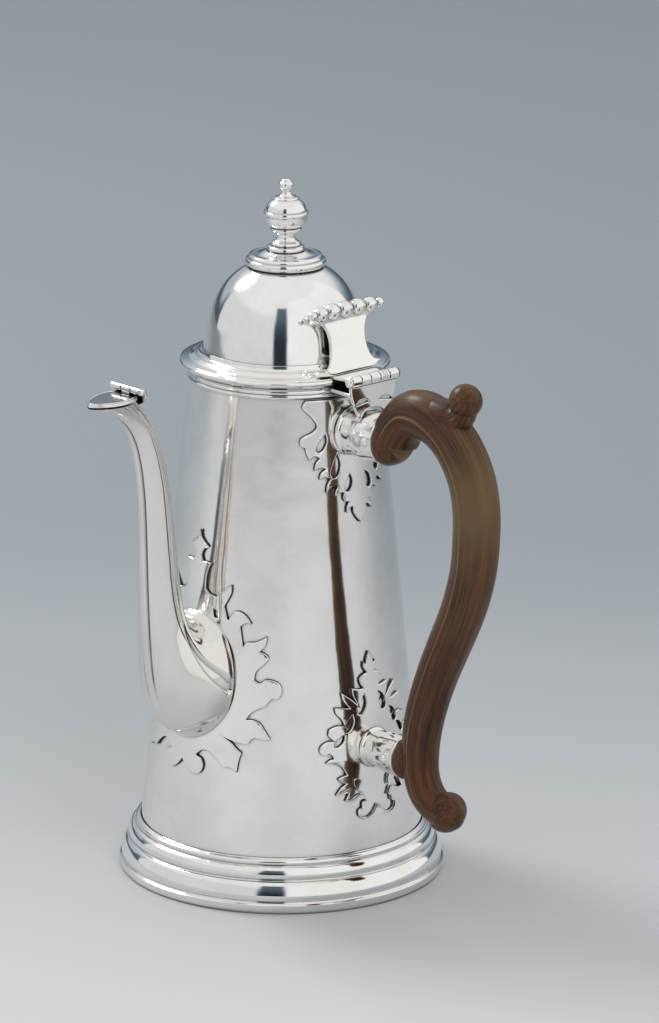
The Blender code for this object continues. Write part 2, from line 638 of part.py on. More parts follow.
def make_sockets():
    for (name, x, z), radius, end_x in zip(pin_places(), (UPPER_SOCKET_R, LOWER_SOCKET_R),
                                           (UPPER_END_X, LOWER_END_X)):
        socket = make_socket(f"{name}_socket", end_x, z, radius, name)
        combine(socket, cylinder(f"{name}_socket_bore", (x, -30, z), (x, 30, z), PIN_R + GAP, steps=14),
                "DIFFERENCE")
        tip = radius + GAP + 0.3
        pin = cylinder(f"{name}_handle_pin", (x, -tip, z), (x, tip, z), PIN_R, silver(f"{name}_pin"), steps=12)
        for side in (-1, 1):
            head = cylinder(f"{name}_pin_head_{side + 1}", (x, side * (radius + GAP), z),
                            (x, side * (radius + GAP + 0.6), z), PIN_HEAD_R, steps=12, radius2=PIN_HEAD_R * 0.6)
            combine(pin, head, "UNION")


# ------------------------------------------------------------------------------------------------
# cut-cards: pierced sheet ornament under the sockets and the spout
# ------------------------------------------------------------------------------------------------
def mirrored(half, height):
    """A closed outline from its right half, listed from top to bottom, with z counted from height."""
    half = [(x, height + z) for x, z in half]
    return half + [(-x, z) for x, z in reversed(half) if x > 0.001]


def slot(across, z, length, width, lean):
    """A leaf-shaped piercing: eight points about a leaning middle line."""
    out = []
    for step in range(8):
        angle = 2 * math.pi * step / 8
        along = math.sin(angle) * length / 2
        side = math.cos(angle) * width / 2
        out.append((across + side + along * lean, z + along))
    return out


def make_card(name, outline, holes, axis):
    heights = [z for _, z in outline]
    low, high = min(heights), max(heights)
    card = sleeve(name, GAP, CARD_T, low - 2, min(high + 2, BODY_TOP_Z))
    cutters.objects.unlink(card)
    parts.objects.link(card)
    card.hide_render = False
    card.display_type = "TEXTURED"
    card.data.materials.append(silver(name))
    combine(card, prism(f"{name}_outline", outline, holes, 8, 80, axis), "INTERSECT")
    return card


def make_cut_cards():
    top = BODY_TOP_Z - RIM_H - 2 * GAP - UPPER_Z
    upper = mirrored([(0.0, top), (18.0, top), (19.0, top - 4), (16.5, top - 7.5), (17.2, 1.5),
                      (21.3, -1.0), (19.0, -4.0), (18.4, -8.0), (14.6, -8.5), (17.0, -11.9),
                      (12.6, -12.5), (15.0, -15.9), (10.8, -16.3), (12.8, -20.3), (8.6, -19.7),
                      (9.6, -22.3), (5.9, -21.1), (6.0, -23.9), (3.4, -23.7), (3.6, -28.9), (1.4, -28.1),
                      (0.0, -32.9)], UPPER_Z)
    slots = [slot(side * 5.6, UPPER_Z - 15.3, 9.5, 2.2, side * 0.2) for side in (-1, 1)]
    slots += [slot(side * 2.3, UPPER_Z - 21.3, 5.0, 1.5, side * 0.15) for side in (-1, 1)]
    make_card("upper_cut_card", upper, slots, "+X")

    lower = mirrored([(0.0, 34.8), (2.0, 30.8), (2.2, 26.3), (5.2, 25.8), (4.6, 21.8), (10.0, 22.8),
                      (8.6, 17.8), (14.2, 21.4), (12.2, 16.4), (15.8, 16.6), (15.0, 10.8), (19.0, 8.8),
                      (17.0, 4.4), (22.0, 3.2), (20.4, -1.2), (15.4, -1.0), (20.0, -3.6), (13.6, -6.6),
                      (16.0, -9.2), (13.4, -10.6), (17.0, -14.6), (12.0, -13.8), (13.4, -17.3),
                      (9.0, -16.6), (7.9, -20.6), (6.0, -24.3), (2.6, -24.2), (0.0, -21.4)], LOWER_Z)
    slots = [slot(side * 6.6, LOWER_Z + 16.4, 7.0, 2.2, side * 0.3) for side in (-1, 1)]
    slots += [slot(side * 11.4, LOWER_Z + 10.8, 6.5, 1.8, side * 0.3) for side in (-1, 1)]
    make_card("lower_cut_card", lower, slots, "+X")

    spout = mirrored([(0.0, 76.0), (3.4, 70.0), (2.4, 65.2), (6.2, 64.4), (5.0, 56.6), (9.0, 54.4),
                      (14.4, 58.2), (13.6, 51.8), (15.0, 46.6), (22.6, 45.4), (20.0, 42.6), (21.0, 37.4),
                      (28.2, 40.0), (28.8, 33.0), (25.4, 26.0), (33.4, 22.4), (32.0, 18.4), (24.6, 12.4),
                      (31.6, 5.2), (25.0, 4.4), (18.0, 3.2), (23.6, -1.6), (22.4, -7.8), (14.0, -4.6),
                      (8.6, -3.0), (10.0, -8.0), (6.4, -11.4), (2.6, -10.6), (0.0, -7.2)], SPOUT_ROOT_Z)
    opening = [(CARD_OPENING_W * math.cos(a * math.pi / 10), SPOUT_AXIS_Z + CARD_OPENING_H * math.sin(a * math.pi / 10))
               for a in range(20)]
    make_card("spout_cut_card", spout, [opening], "-Y")


# ------------------------------------------------------------------------------------------------
# spout and its flap
# ------------------------------------------------------------------------------------------------
# front and back point of each section, from the body to the mouth: its distance outside the body's
# cone, and its height as a share of the way from the spout's root to its mouth; then the half width
SPOUT_LINE = [(-11.1, 0.0, -6.1, 0.376, 20.2), (-1.5, 0.005, 0.3, 0.366, 19.6),
              (7.4, 0.034, 3.9, 0.343, 18.0), (14.6, 0.097, 6.6, 0.349, 14.8),
              (19.6, 0.184, 8.6, 0.369, 11.2), (22.6, 0.284, 10.2, 0.402, 8.9),
              (24.9, 0.392, 11.6, 0.449, 7.6), (26.8, 0.492, 13.1, 0.504, 7.0),
              (28.4, 0.591, 15.5, 0.587, 6.5), (30.5, 0.699, 18.3, 0.687, 6.1),
              (33.1, 0.794, 21.6, 0.773, 5.9), (36.8, 0.871, 25.5, 0.843, 5.8),
              (41.9, 0.928, 30.0, 0.906, 6.0), (49.8, 0.967, 35.1, 0.96, 6.7),
              (58.2, 0.991, 39.9, 1.0, 7.4)]
SPOUT_SIDES = 16


def spout_sections():
    """Front (out, z), back (out, z) and half width of each section, in millimetres."""
    rise = SPOUT_MOUTH_Z - SPOUT_ROOT_Z
    rows = []
    for front, front_share, back, back_share, width in SPOUT_LINE:
        front_z, back_z = SPOUT_ROOT_Z + rise * front_share, SPOUT_ROOT_Z + rise * back_share
        rows.append((body_radius(front_z) + front, front_z, body_radius(back_z) + back, back_z, width))
    return rows


SPOUT_SECTIONS = spout_sections()
FLAP_HINGE_Y = -(SPOUT_SECTIONS[-1][2] + FLAP_SETBACK)
FLAP_HINGE_Z = SPOUT_SECTIONS[-1][3] + FLAP_HINGE_RISE


def spout_ring(front, back, half_width, inset, point):
    """One section: an oval between its front and back points, drawn in by inset. A point over 0
    makes its front end sharper, for the pouring lip."""
    front = Vector((0, -front[0], front[1]))
    back = Vector((0, -back[0], back[1]))
    middle = (front + back) / 2
    reach = (front - back) / 2
    reach *= (reach.length - inset) / reach.length
    width = half_width - inset
    ring = []
    for step in range(SPOUT_SIDES):
        angle = 2 * math.pi * step / SPOUT_SIDES
        along, across = math.cos(angle), math.sin(angle)
        narrow = 1 - point * max(along, 0.0)
        ring.append(middle + reach * along + Vector((width * across * narrow, 0, 0)))
    return ring


def spout_rings(inset):
    rows = smooth_path(SPOUT_SECTIONS, 1)
    rings = []
    for index, (front_y, front_z, back_y, back_z, width) in enumerate(rows):
        point = 0.3 * max(0.0, (index - len(rows) + 4) / 3)
        rings.append(spout_ring((front_y, front_z), (back_y, back_z), width, inset, point))
    return rings


def make_spout():
    spout = loft("spout", spout_rings(0.0), silver("spout"))
    inner = spout_rings(SPOUT_WALL)
    # the hollow runs on past the mouth, so that it opens there
    inner.append([point + Vector((0, 0, 3.0)) for point in inner[-1]])
    combine(spout, loft("spout_hollow", inner), "DIFFERENCE")
    combine(spout, body_cutter("spout_seat", CARD_T + 2 * GAP, 30, 140), "DIFFERENCE")


def make_flap(parent):
    y, z = FLAP_HINGE_Y, FLAP_HINGE_Z
    mouth_front = SPOUT_SECTIONS[-1][:2]
    mouth_back = SPOUT_SECTIONS[-1][2:4]
    # flap: the mouth's outline, a little larger, as a plate a gap above it
    rings = []
    for lift in (GAP, GAP + FLAP_T):
        ring = spout_ring((mouth_front[0] + 0.5, mouth_front[1]), (mouth_back[0] - 0.2, mouth_back[1]),
                          FLAP_W, 0.0, 0.3)
        rings.append([point + Vector((0, 0, lift)) for point in ring])
    flap = loft("spout_flap", rings, silver("flap"), parent)
    combine(flap, box("flap_back_trim", (-FLAP_HINGE_LEN, y + 0.4 - GAP, z - 9),
                      (FLAP_HINGE_LEN, y + 9, z + 9)), "DIFFERENCE")
    clear = FLAP_HINGE_R + GAP
    third = FLAP_HINGE_LEN / 3
    # fixed side: a small block behind the mouth that follows the spout's back
    fixed = box("spout_hinge_bracket", (-FLAP_HINGE_LEN / 2, y + 0.4, z - 6.4),
                (FLAP_HINGE_LEN / 2, y + 3.4, z + 0.4), silver("spout_hinge_bracket"))
    around = spout_rings(-GAP)
    around.append([point + Vector((0, 0, GAP)) for point in around[-1]])
    combine(fixed, loft("spout_back_clearance", around), "DIFFERENCE")
    for index in range(3):
        start, end = knuckle_span(index, 3, FLAP_HINGE_LEN, GAP)
        ends = ((start, y, z), (end, y, z))
        target = flap if index == 1 else fixed
        other = fixed if index == 1 else flap
        combine(other, box(f"flap_room_{index}", (start - GAP / 2, y - clear, z - clear),
                           (end + GAP / 2, y + clear + 1.2, z + clear)), "DIFFERENCE")
        combine(target, cylinder(f"flap_knuckle_{index}", *ends, FLAP_HINGE_R, steps=14), "UNION")
    web = box("flap_web", (-third / 2 + GAP, y - 3.2, z - 2.6), (third / 2 - GAP, y - 0.2, z - 0.4))
    combine(flap, web, "UNION")
    bore = cylinder("flap_bore", (-20, y, z), (20, y, z), FLAP_PIN_R + GAP, steps=12)
    combine(flap, bore, "DIFFERENCE")
    combine(fixed, bore, "DIFFERENCE")
    pin = cylinder("spout_hinge_pin", (-FLAP_HINGE_LEN / 2 - 0.6, y, z), (FLAP_HINGE_LEN / 2 + 0.6, y, z), FLAP_PIN_R,
                   silver("spout_pin"), steps=10)
    for side in (-1, 1):
        combine(pin, cylinder(f"flap_pin_head_{side + 1}", (side * (FLAP_HINGE_LEN / 2 + GAP / 2), y, z),
                              (side * (FLAP_HINGE_LEN / 2 + 0.9), y, z), FLAP_HINGE_R, steps=14), "UNION")


# ------------------------------------------------------------------------------------------------
for old in list(bpy.data.objects):
    bpy.data.objects.remove(old, do_unlink=True)
parts = new_collection("silver_coffee_pot")
cutters = new_collection("cutters")

make_body()
make_base_and_foot()
make_rim()
lid_pivot = pivot("lid_pivot", (HINGE_X, 0, HINGE_Z))
make_lid(lid_pivot)
make_finial(lid_pivot)
make_lid_hinge(lid_pivot)
make_thumbpiece(lid_pivot)
make_handle()
make_sockets()
make_cut_cards()
make_spout()
make_flap(pivot("flap_pivot", (0, FLAP_HINGE_Y, FLAP_HINGE_Z)))
cutters.hide_render = True
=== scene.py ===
"""Looks of the silver coffee pot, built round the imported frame. Lengths are millimetres; MM makes metres."""
import math

import bmesh
import bpy
from mathutils import Matrix, Vector


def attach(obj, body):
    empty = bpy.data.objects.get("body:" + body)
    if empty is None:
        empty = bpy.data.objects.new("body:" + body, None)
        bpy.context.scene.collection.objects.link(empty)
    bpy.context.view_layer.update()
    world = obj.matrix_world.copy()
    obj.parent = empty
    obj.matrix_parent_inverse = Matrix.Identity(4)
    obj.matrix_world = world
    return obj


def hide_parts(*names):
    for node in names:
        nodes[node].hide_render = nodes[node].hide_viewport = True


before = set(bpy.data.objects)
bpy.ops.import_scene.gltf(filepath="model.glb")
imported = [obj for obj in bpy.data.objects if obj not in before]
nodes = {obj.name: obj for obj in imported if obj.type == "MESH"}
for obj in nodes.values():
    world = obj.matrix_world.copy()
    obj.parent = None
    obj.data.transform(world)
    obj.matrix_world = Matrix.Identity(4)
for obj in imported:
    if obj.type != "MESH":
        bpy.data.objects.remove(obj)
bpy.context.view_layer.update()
scene = bpy.context.scene
MM = 0.001
TAU = 2 * math.pi

# main sizes, the same values as the CAD source
BODY_BASE_R, BODY_TOP_R, BODY_BASE_Z, BODY_TOP_Z, BODY_WALL = 52.7, 33.8, 2.5, 186.4, 0.8
FLANGE_Z = 186.8
UPPER_Z, LOWER_Z, UPPER_END_X, LOWER_END_X = 169.5, 55.2, 53.3, 64.2
UPPER_R, LOWER_R = 8.9, 7.5
UPPER_PIN_X, LOWER_PIN_X = 49.9, 60.1
HINGE_X, HINGE_Z, HINGE_R, HINGE_LEN, KNUCKLES = 45.1, 190.3, 2.05, 22.4, 5
FLAP_Y, FLAP_Z, FLAP_LEN, FLAP_R = -74.6, 190.4, 14.6, 1.25
# sizes of the modelled surfaces, some a little off the CAD pieces they stand for
STRAINER_Z, STRAINER_PITCH, STRAINER_R, STRAINER_HOLE_R = 79.0, 6.2, 12.6, 1.5
DOME_Z, DOME_R, DOME_H = 191.2, 29.6, 33.2
THUMB_Z, THUMB_X, BEAD_V = 191.2, 34.6, 20.9
SPOUT_WALL, SPOUT_SIDES, SPOUT_STEPS = 1.1, 176, 12
CARD_T, CARD_EDGE, CARD_OPENING_W, CARD_OPENING_H = 1.1, 0.36, 13.5, 16.0


def body_radius(z):
    return BODY_BASE_R + (BODY_TOP_R - BODY_BASE_R) * (z - BODY_BASE_Z) / (BODY_TOP_Z - BODY_BASE_Z)


def added(name, data):
    """A new object in the scene."""
    thing = bpy.data.objects.new(name, data)
    scene.collection.objects.link(thing)
    return thing


# camera, floor and light
RIGHT = Vector((0.68589, 0.72766, 0.00887))
UP = Vector((-0.20554, 0.18202, 0.96157))
AHEAD = Vector((-0.69807, 0.66135, -0.27441))
PLACE = Vector((1.5099, -1.4080, 0.72122))

camera = added("camera", bpy.data.cameras.new("camera"))
camera.matrix_world = Matrix((RIGHT, UP, -AHEAD)).transposed().to_4x4()
camera.matrix_world.translation = PLACE
camera.data.lens = 211.14
camera.data.sensor_width = 36
camera.data.sensor_fit = "AUTO"
camera.data.clip_start, camera.data.clip_end = 0.05, 40
scene.camera = camera
scene.view_settings.view_transform = "Standard"

TOWARDS = Vector((-AHEAD.x, -AHEAD.y, 0)).normalized()      # level, from the pot to the camera
ASIDE = Vector((RIGHT.x, RIGHT.y, 0)).normalized()


class Tree:
    """Short words for making shader nodes."""

    def __init__(self, owner):
        owner.use_nodes = True
        self.tree = owner.node_tree
        self.nodes = self.tree.nodes

    def new(self, kind, **settings):
        node = self.nodes.new(kind)
        for key, value in settings.items():
            setattr(node, key, value)
        return node

    def put(self, value, socket):
        if isinstance(value, bpy.types.NodeSocket):
            self.tree.links.new(value, socket)
        else:
            socket.default_value = value

    def math(self, operation, a, b=0.0):
        node = self.new("ShaderNodeMath", operation=operation)
        self.put(a, node.inputs[0])
        self.put(b, node.inputs[1])
        return node.outputs[0]

    def ramp(self, value, low, high, to_low=0.0, to_high=1.0):
        node = self.new("ShaderNodeMapRange", interpolation_type="SMOOTHSTEP")
        for socket, item in zip(node.inputs, (value, low, high, to_low, to_high)):
            self.put(item, socket)
        return node.outputs[0]

    def mix(self, share, a, b):
        node = self.new("ShaderNodeMix", data_type="RGBA")
        self.put(share, node.inputs[0])
        self.put(a, node.inputs[6])
        self.put(b, node.inputs[7])
        return node.outputs[2]

    def noise(self, vector, scale, detail=2.0, roughness=0.5, distortion=0.0):
        node = self.new("ShaderNodeTexNoise")
        self.put(vector, node.inputs["Vector"])
        node.inputs["Scale"].default_value = scale
        node.inputs["Detail"].default_value = detail
        node.inputs["Roughness"].default_value = roughness
        node.inputs["Distortion"].default_value = distortion
        return node.outputs[0]

    def stretch(self, vector, scale):
        node = self.new("ShaderNodeMapping")
        self.put(vector, node.inputs["Vector"])
        node.inputs["Scale"].default_value = scale
        return node.outputs[0]

    def dot(self, vector, direction):
        node = self.new("ShaderNodeVectorMath", operation="DOT_PRODUCT")
        self.put(vector, node.inputs[0])
        node.inputs[1].default_value = direction
        return node.outputs["Value"]

    def bump(self, height, strength, distance, under=None):
        node = self.new("ShaderNodeBump")
        node.inputs["Strength"].default_value = strength
        node.inputs["Distance"].default_value = distance
        self.put(height, node.inputs["Height"])
        if under is not None:
            self.put(under, node.inputs["Normal"])
        return node.outputs[0]


def studio_world():
    """Soft studio surroundings: pale diffuser overhead, tall soft panels round about, a dark gap in front."""
    world = bpy.data.worlds.new("studio")
    scene.world = world
    t = Tree(world)
    way = t.new("ShaderNodeTexCoord").outputs["Generated"]
    side, front, height = t.dot(way, ASIDE), t.dot(way, TOWARDS), t.dot(way, (0, 0, 1))
    turn = t.math("MULTIPLY", t.math("ARCTAN2", side, front), 180 / math.pi)
    rise = t.math("MULTIPLY", t.math("ARCSINE", height), 180 / math.pi)

    def window(value, low, high, soft):
        return t.math("MULTIPLY", t.ramp(value, low - soft, low + soft),
                      t.ramp(value, high - soft, high + soft, 1.0, 0.0))

    def panel(turn_low, turn_high, rise_low, rise_high, soft, level):
        area = t.math("MULTIPLY", window(turn, turn_low, turn_high, soft),
                      window(rise, rise_low, rise_high, soft))
        return t.math("MULTIPLY", area, level)

    total = t.ramp(rise, 2.0, 38.0, 0.13, 0.88)
    total = t.math("MAXIMUM", total, panel(3, 128, -30, 58, 2.0, 0.95))
    total = t.math("MAXIMUM", total, panel(-122, -16, -30, 52, 2.5, 0.76))
    total = t.math("MAXIMUM", total, panel(-20, 8, 30, 60, 2.0, 0.84))
    total = t.math("MAXIMUM", total, panel(-172, -128, 6, 50, 5.0, 0.55))
    gap = panel(-15.5, 2.5, -14, 44, 1.5, 0.80)      # the opening between the panels
    total = t.math("MULTIPLY", total, t.math("SUBTRACT", 1.0, gap))
    tint = t.mix(t.ramp(total, 0.1, 0.9), (0.58, 0.78, 1.0, 1), (1.0, 0.995, 0.98, 1))
    background = t.nodes["Background"]
    t.put(tint, background.inputs["Color"])
    t.put(total, background.inputs["Strength"])


def area_light(name, place, aim, size, power, colour=(1, 1, 1)):
    data = bpy.data.lights.new(name, "AREA")
    data.shape = "DISK"
    data.size = size
    data.energy = power
    data.color = colour
    light = added(name, data)
    light.location = place
    light.rotation_mode = "QUATERNION"
    light.rotation_quaternion = (Vector(aim) - Vector(place)).to_track_quat("-Z", "Y")
    return light


# painted shade: the floor's colour goes from dim far away to pale near the camera, standing for light falling
# off towards the back; the ramp runs between these two places in metres
FLOOR_FAR, FLOOR_NEAR = -0.50, 0.45
FLOOR_PAINTED_SHADE, FLOOR_PALE = (0.250, 0.280, 0.305), (0.580, 0.588, 0.604)


def make_floor():
    bm = bmesh.new()
    bmesh.ops.create_grid(bm, x_segments=24, y_segments=24, size=7.0)
    mesh = bpy.data.meshes.new("floor")
    bm.to_mesh(mesh)
    bm.free()
    floor = added("floor", mesh)
    material = bpy.data.materials.new("floor_with_painted_shade")
    t = Tree(material)
    shader = t.nodes["Principled BSDF"]
    place = t.new("ShaderNodeTexCoord").outputs["Object"]
    # painted shade: the floor is coloured darker the further it lies from the camera side
    nearer = t.math("ADD", t.dot(place, TOWARDS), t.math("MULTIPLY", t.noise(place, 1.3, 1.0), 0.06))
    share = t.ramp(nearer, FLOOR_FAR, FLOOR_NEAR)
    t.put(t.mix(share, (*FLOOR_PAINTED_SHADE, 1), (*FLOOR_PALE, 1)), shader.inputs["Base Color"])
    shader.inputs["Roughness"].default_value = 0.75
    shader.inputs["Specular IOR Level"].default_value = 0.15
    mesh.materials.append(material)


studio_world()
make_floor()
key_place = ASIDE * -1.05 + TOWARDS * -0.8 + Vector((0, 0, 1.35))
area_light("key_light", key_place, (0, 0, 0.08), 0.7, 16, (1.0, 0.985, 0.96))
front_place = ASIDE * 0.7 + TOWARDS * 1.6 + Vector((0, 0, 1.7))
front_light = area_light("front_light", front_place, (0.1, -0.1, 0.05), 0.9, 12)
front_light.visible_glossy = False


# materials
def silver(name, light=(0.89, 0.88, 0.865), dull=(0.70, 0.685, 0.66), roughness=0.09, ripple=0.2,
           tarnish=0.5):
    """Old polished silver: uneven tone, a faint hammered ripple, fine rubbing marks, tarnish in the hollows,
    and painted shade where parts meet and along the spout's creases.
    """
    material = bpy.data.materials.new(name)
    t = Tree(material)
    shader = t.nodes["Principled BSDF"]
    shader.inputs["Metallic"].default_value = 1.0
    place = t.new("ShaderNodeTexCoord").outputs["Object"]
    cloud = t.noise(place, 46.0, 5.0, 0.6, 0.4)
    specks = t.noise(place, 900.0, 2.0, 0.7)
    hollow = t.ramp(t.new("ShaderNodeNewGeometry").outputs["Pointiness"], 0.40, 0.485, 1.0, 0.0)
    between = [0.6 * a + 0.4 * b for a, b in zip(light, dull)]
    tone = t.mix(t.ramp(cloud, 0.36, 0.68), (*light, 1), (*between, 1))
    tone = t.mix(t.math("MULTIPLY", t.ramp(specks, 0.62, 0.74), 0.35), tone, (*dull, 1))
    tone = t.mix(t.math("MULTIPLY", hollow, tarnish), tone, (0.16, 0.145, 0.13, 1))
    # painted shade: ambient occlusion darkens the silver near other surfaces, where parts meet and in narrow
    # gaps
    close = t.new("ShaderNodeAmbientOcclusion", samples=6)
    close.inputs["Distance"].default_value = 0.0016
    shade_mask = t.ramp(close.outputs["AO"], 0.35, 0.92, 1.0, 0.0)
    # painted shade: the spout's crease attribute darkens its creases and the groove beside its rib
    crease_shade = t.new("ShaderNodeAttribute", attribute_name="crease_shade").outputs["Fac"]
    shade_mask = t.math("MAXIMUM", shade_mask, crease_shade)
    tone = t.mix(t.math("MULTIPLY", shade_mask, 0.86), tone, (0.045, 0.043, 0.046, 1))
    t.put(tone, shader.inputs["Base Color"])
    rub_marks_and_painted_light = t.noise(t.stretch(place, (1.0, 1.0, 0.16)), 700.0, 3.0, 0.65)
    rough = t.math("ADD", t.math("MULTIPLY", cloud, 0.07), t.math("MULTIPLY", rub_marks_and_painted_light, 0.06))
    rough = t.math("ADD", rough, t.math("MULTIPLY", hollow, 0.18))
    t.put(t.math("ADD", rough, roughness - 0.06), shader.inputs["Roughness"])
    waves = t.bump(t.noise(place, 85.0, 2.0, 0.45), ripple, 0.0006)
    fine = t.bump(rub_marks_and_painted_light, 0.05, 0.0001, waves)
    t.put(fine, shader.inputs["Normal"])
    return material


def fruitwood():
    """Dark polished fruitwood: long fine grain along the piece, ruddy shade, a painted olive light on the
    middle of the grip, a painted highlight on the ridge and painted shade in crevices and where parts meet.
    """
    material = bpy.data.materials.new("handle_wood")
    t = Tree(material)
    shader = t.nodes["Principled BSDF"]
    flow = t.new("ShaderNodeAttribute", attribute_name="flow").outputs["Vector"]
    bands = t.noise(t.stretch(flow, (14.0, 210.0, 210.0)), 1.0, 5.0, 0.62, 0.5)
    fibres = t.noise(t.stretch(flow, (34.0, 1500.0, 1500.0)), 1.0, 3.0, 0.6)
    pores = t.noise(t.stretch(flow, (90.0, 2600.0, 2600.0)), 1.0, 1.0, 0.5)
    patches = t.noise(flow, 24.0, 3.0, 0.55)
    wood = t.mix(t.ramp(bands, 0.30, 0.72), (0.024, 0.0065, 0.003, 1), (0.092, 0.030, 0.0105, 1))
    wood = t.mix(t.math("MULTIPLY", t.ramp(fibres, 0.42, 0.66), 0.38), wood, (0.150, 0.078, 0.030, 1))
    wood = t.mix(t.math("MULTIPLY", t.ramp(pores, 0.60, 0.72), 0.6), wood, (0.020, 0.009, 0.006, 1))
    # painted light: the middle of the grip is coloured paler olive, standing for the light and sheen on it;
    # the scrolls stay dark
    along = t.dot(flow, (1, 0, 0))
    rub_marks_and_painted_light = t.math("MULTIPLY", t.ramp(along, 0.034, 0.070), t.ramp(along, 0.080, 0.125, 1.0, 0.0))
    wood = t.mix(t.math("MULTIPLY", t.ramp(patches, 0.30, 0.72), rub_marks_and_painted_light), wood, (0.130, 0.080, 0.036, 1))
    hollow = t.ramp(t.new("ShaderNodeNewGeometry").outputs["Pointiness"], 0.42, 0.49, 1.0, 0.0)
    wood = t.mix(t.math("MULTIPLY", hollow, 0.8), wood, (0.009, 0.0035, 0.003, 1))
    # painted highlight: the ridge and other convex edges are coloured light tan
    ridge = t.ramp(t.new("ShaderNodeNewGeometry").outputs["Pointiness"], 0.508, 0.545)
    wood = t.mix(t.math("MULTIPLY", ridge, 0.75), wood, (0.235, 0.140, 0.062, 1))
    # painted shade: ambient occlusion darkens the wood near other surfaces, in crevices and where parts meet
    close = t.new("ShaderNodeAmbientOcclusion", samples=6)
    close.inputs["Distance"].default_value = 0.006
    wood = t.mix(t.ramp(close.outputs["AO"], 0.25, 0.85, 0.9, 0.0), wood, (0.010, 0.004, 0.003, 1))
    t.put(wood, shader.inputs["Base Color"])
    t.put(t.math("ADD", t.math("MULTIPLY", patches, 0.18), 0.26), shader.inputs["Roughness"])
    shader.inputs["Specular IOR Level"].default_value = 0.24
    shader.inputs["Coat Weight"].default_value = 0.07
    shader.inputs["Coat Roughness"].default_value = 0.16
    grain = t.bump(fibres, 0.22, 0.00025)
    t.put(t.bump(pores, 0.16, 0.0002, grain), shader.inputs["Normal"])
    return material


BODY_SILVER = silver("body_silver", roughness=0.085, ripple=0.16, tarnish=0.35)
TURNED_SILVER = silver("turned_silver", roughness=0.07, ripple=0.10, tarnish=0.75)
DOME_SILVER = silver("dome_silver", roughness=0.09, ripple=0.14, tarnish=0.3)
# painted shade: the spout's silver has a darker tone, standing for the darker reflections the spout shows
CAST_SILVER_PAINTED_DARK = silver("cast_silver_painted_dark", (0.80, 0.775, 0.745), roughness=0.11, ripple=0.28, tarnish=0.9)
CARD_SILVER = silver("card_silver", (0.90, 0.895, 0.88), roughness=0.09, ripple=0.12, tarnish=0.6)
FITTING_SILVER = silver("fitting_silver", (0.90, 0.885, 0.86), roughness=0.10, ripple=0.18, tarnish=0.85)
FLAP_SILVER = silver("flap_silver", (0.42, 0.41, 0.43), (0.30, 0.29, 0.31), roughness=0.12, ripple=0.05)
# painted shade: dark silver for the cards' cut edges, standing for the thin shadow line round each card
CARD_EDGE_SHADE = silver("card_edge_painted_shade", (0.20, 0.20, 0.205), (0.10, 0.10, 0.10), roughness=0.3)
INNER_SILVER = silver("inner_silver", (0.80, 0.775, 0.73), (0.5, 0.46, 0.40), roughness=0.24, ripple=0.3)
WOOD = fruitwood()


# geometry helpers
def curve_through(points, steps):
    """Catmull-Rom through an open run of equal-length tuples."""
    rows = [points[0]] + list(points) + [points[-1]]
    out = []
    for p0, p1, p2, p3 in zip(rows, rows[1:], rows[2:], rows[3:]):
        for i in range(steps):
            t = i / steps
            out.append(tuple(0.5 * (2 * b + (c - a) * t + (2 * a - 5 * b + 4 * c - d) * t * t
                                    + (3 * b - a - 3 * c + d) * t ** 3)
                             for a, b, c, d in zip(p0, p1, p2, p3)))
    out.append(tuple(points[-1]))
    return out


def flowing(points, steps=6, closed=False):
    """A line through (x, y) points; (x, y, 1) marks a sharp corner and the rest are smooth."""
    marks = [i for i, p in enumerate(points) if len(p) > 2]
    if closed:
        first = marks[0] if marks else 0
        points = list(points[first:]) + list(points[:first + 1])
    runs, run = [], [points[0][:2]]
    for p in points[1:]:
        run.append(p[:2])
        if len(p) > 2:
            runs.append(run)
            run = [p[:2]]
    if len(run) > 1:
        runs.append(run)
    out = []
    for part in runs:
        line = curve_through(part, steps) if len(part) > 2 else part
        out += line if not out else line[1:]
    return out[:-1] if closed else out


def soften(points, radius, closed=False, steps=3, limit=22):
    """Corners sharper than limit degrees are rounded off by about radius."""
    out, count = [], len(points)
    for i, p in enumerate(points):
        if not closed and i in (0, count - 1):
            out.append(tuple(p))
            continue
        here = Vector(p[:2])
        a, b = Vector(points[i - 1][:2]) - here, Vector(points[(i + 1) % count][:2]) - here
        if a.length < 1e-6 or b.length < 1e-6 or math.degrees(math.pi - a.angle(b)) < limit:
            out.append(tuple(here))
            continue
        cut = min(radius, a.length * 0.42, b.length * 0.42)
        start, end = here + a.normalized() * cut, here + b.normalized() * cut
        for k in range(steps + 1):
            t = k / steps
            out.append(tuple(start * (1 - t) ** 2 + here * 2 * t * (1 - t) + end * t * t))
    return out


def finish_mesh(bm, name, material, sharp=38):
    bmesh.ops.remove_doubles(bm, verts=bm.verts, dist=1e-7)
    bmesh.ops.recalc_face_normals(bm, faces=bm.faces)
    if bm.calc_volume(signed=True) < 0:
        bmesh.ops.reverse_faces(bm, faces=bm.faces)
    mesh = bpy.data.meshes.new(name)
    bm.to_mesh(mesh)
    bm.free()
    mesh.materials.append(material)
    mesh.shade_smooth()
    mesh.set_sharp_from_angle(angle=math.radians(sharp))
    return added(name, mesh)


def along_z(r, angle, z):
    return Vector((r * math.cos(angle), r * math.sin(angle), z)) * MM


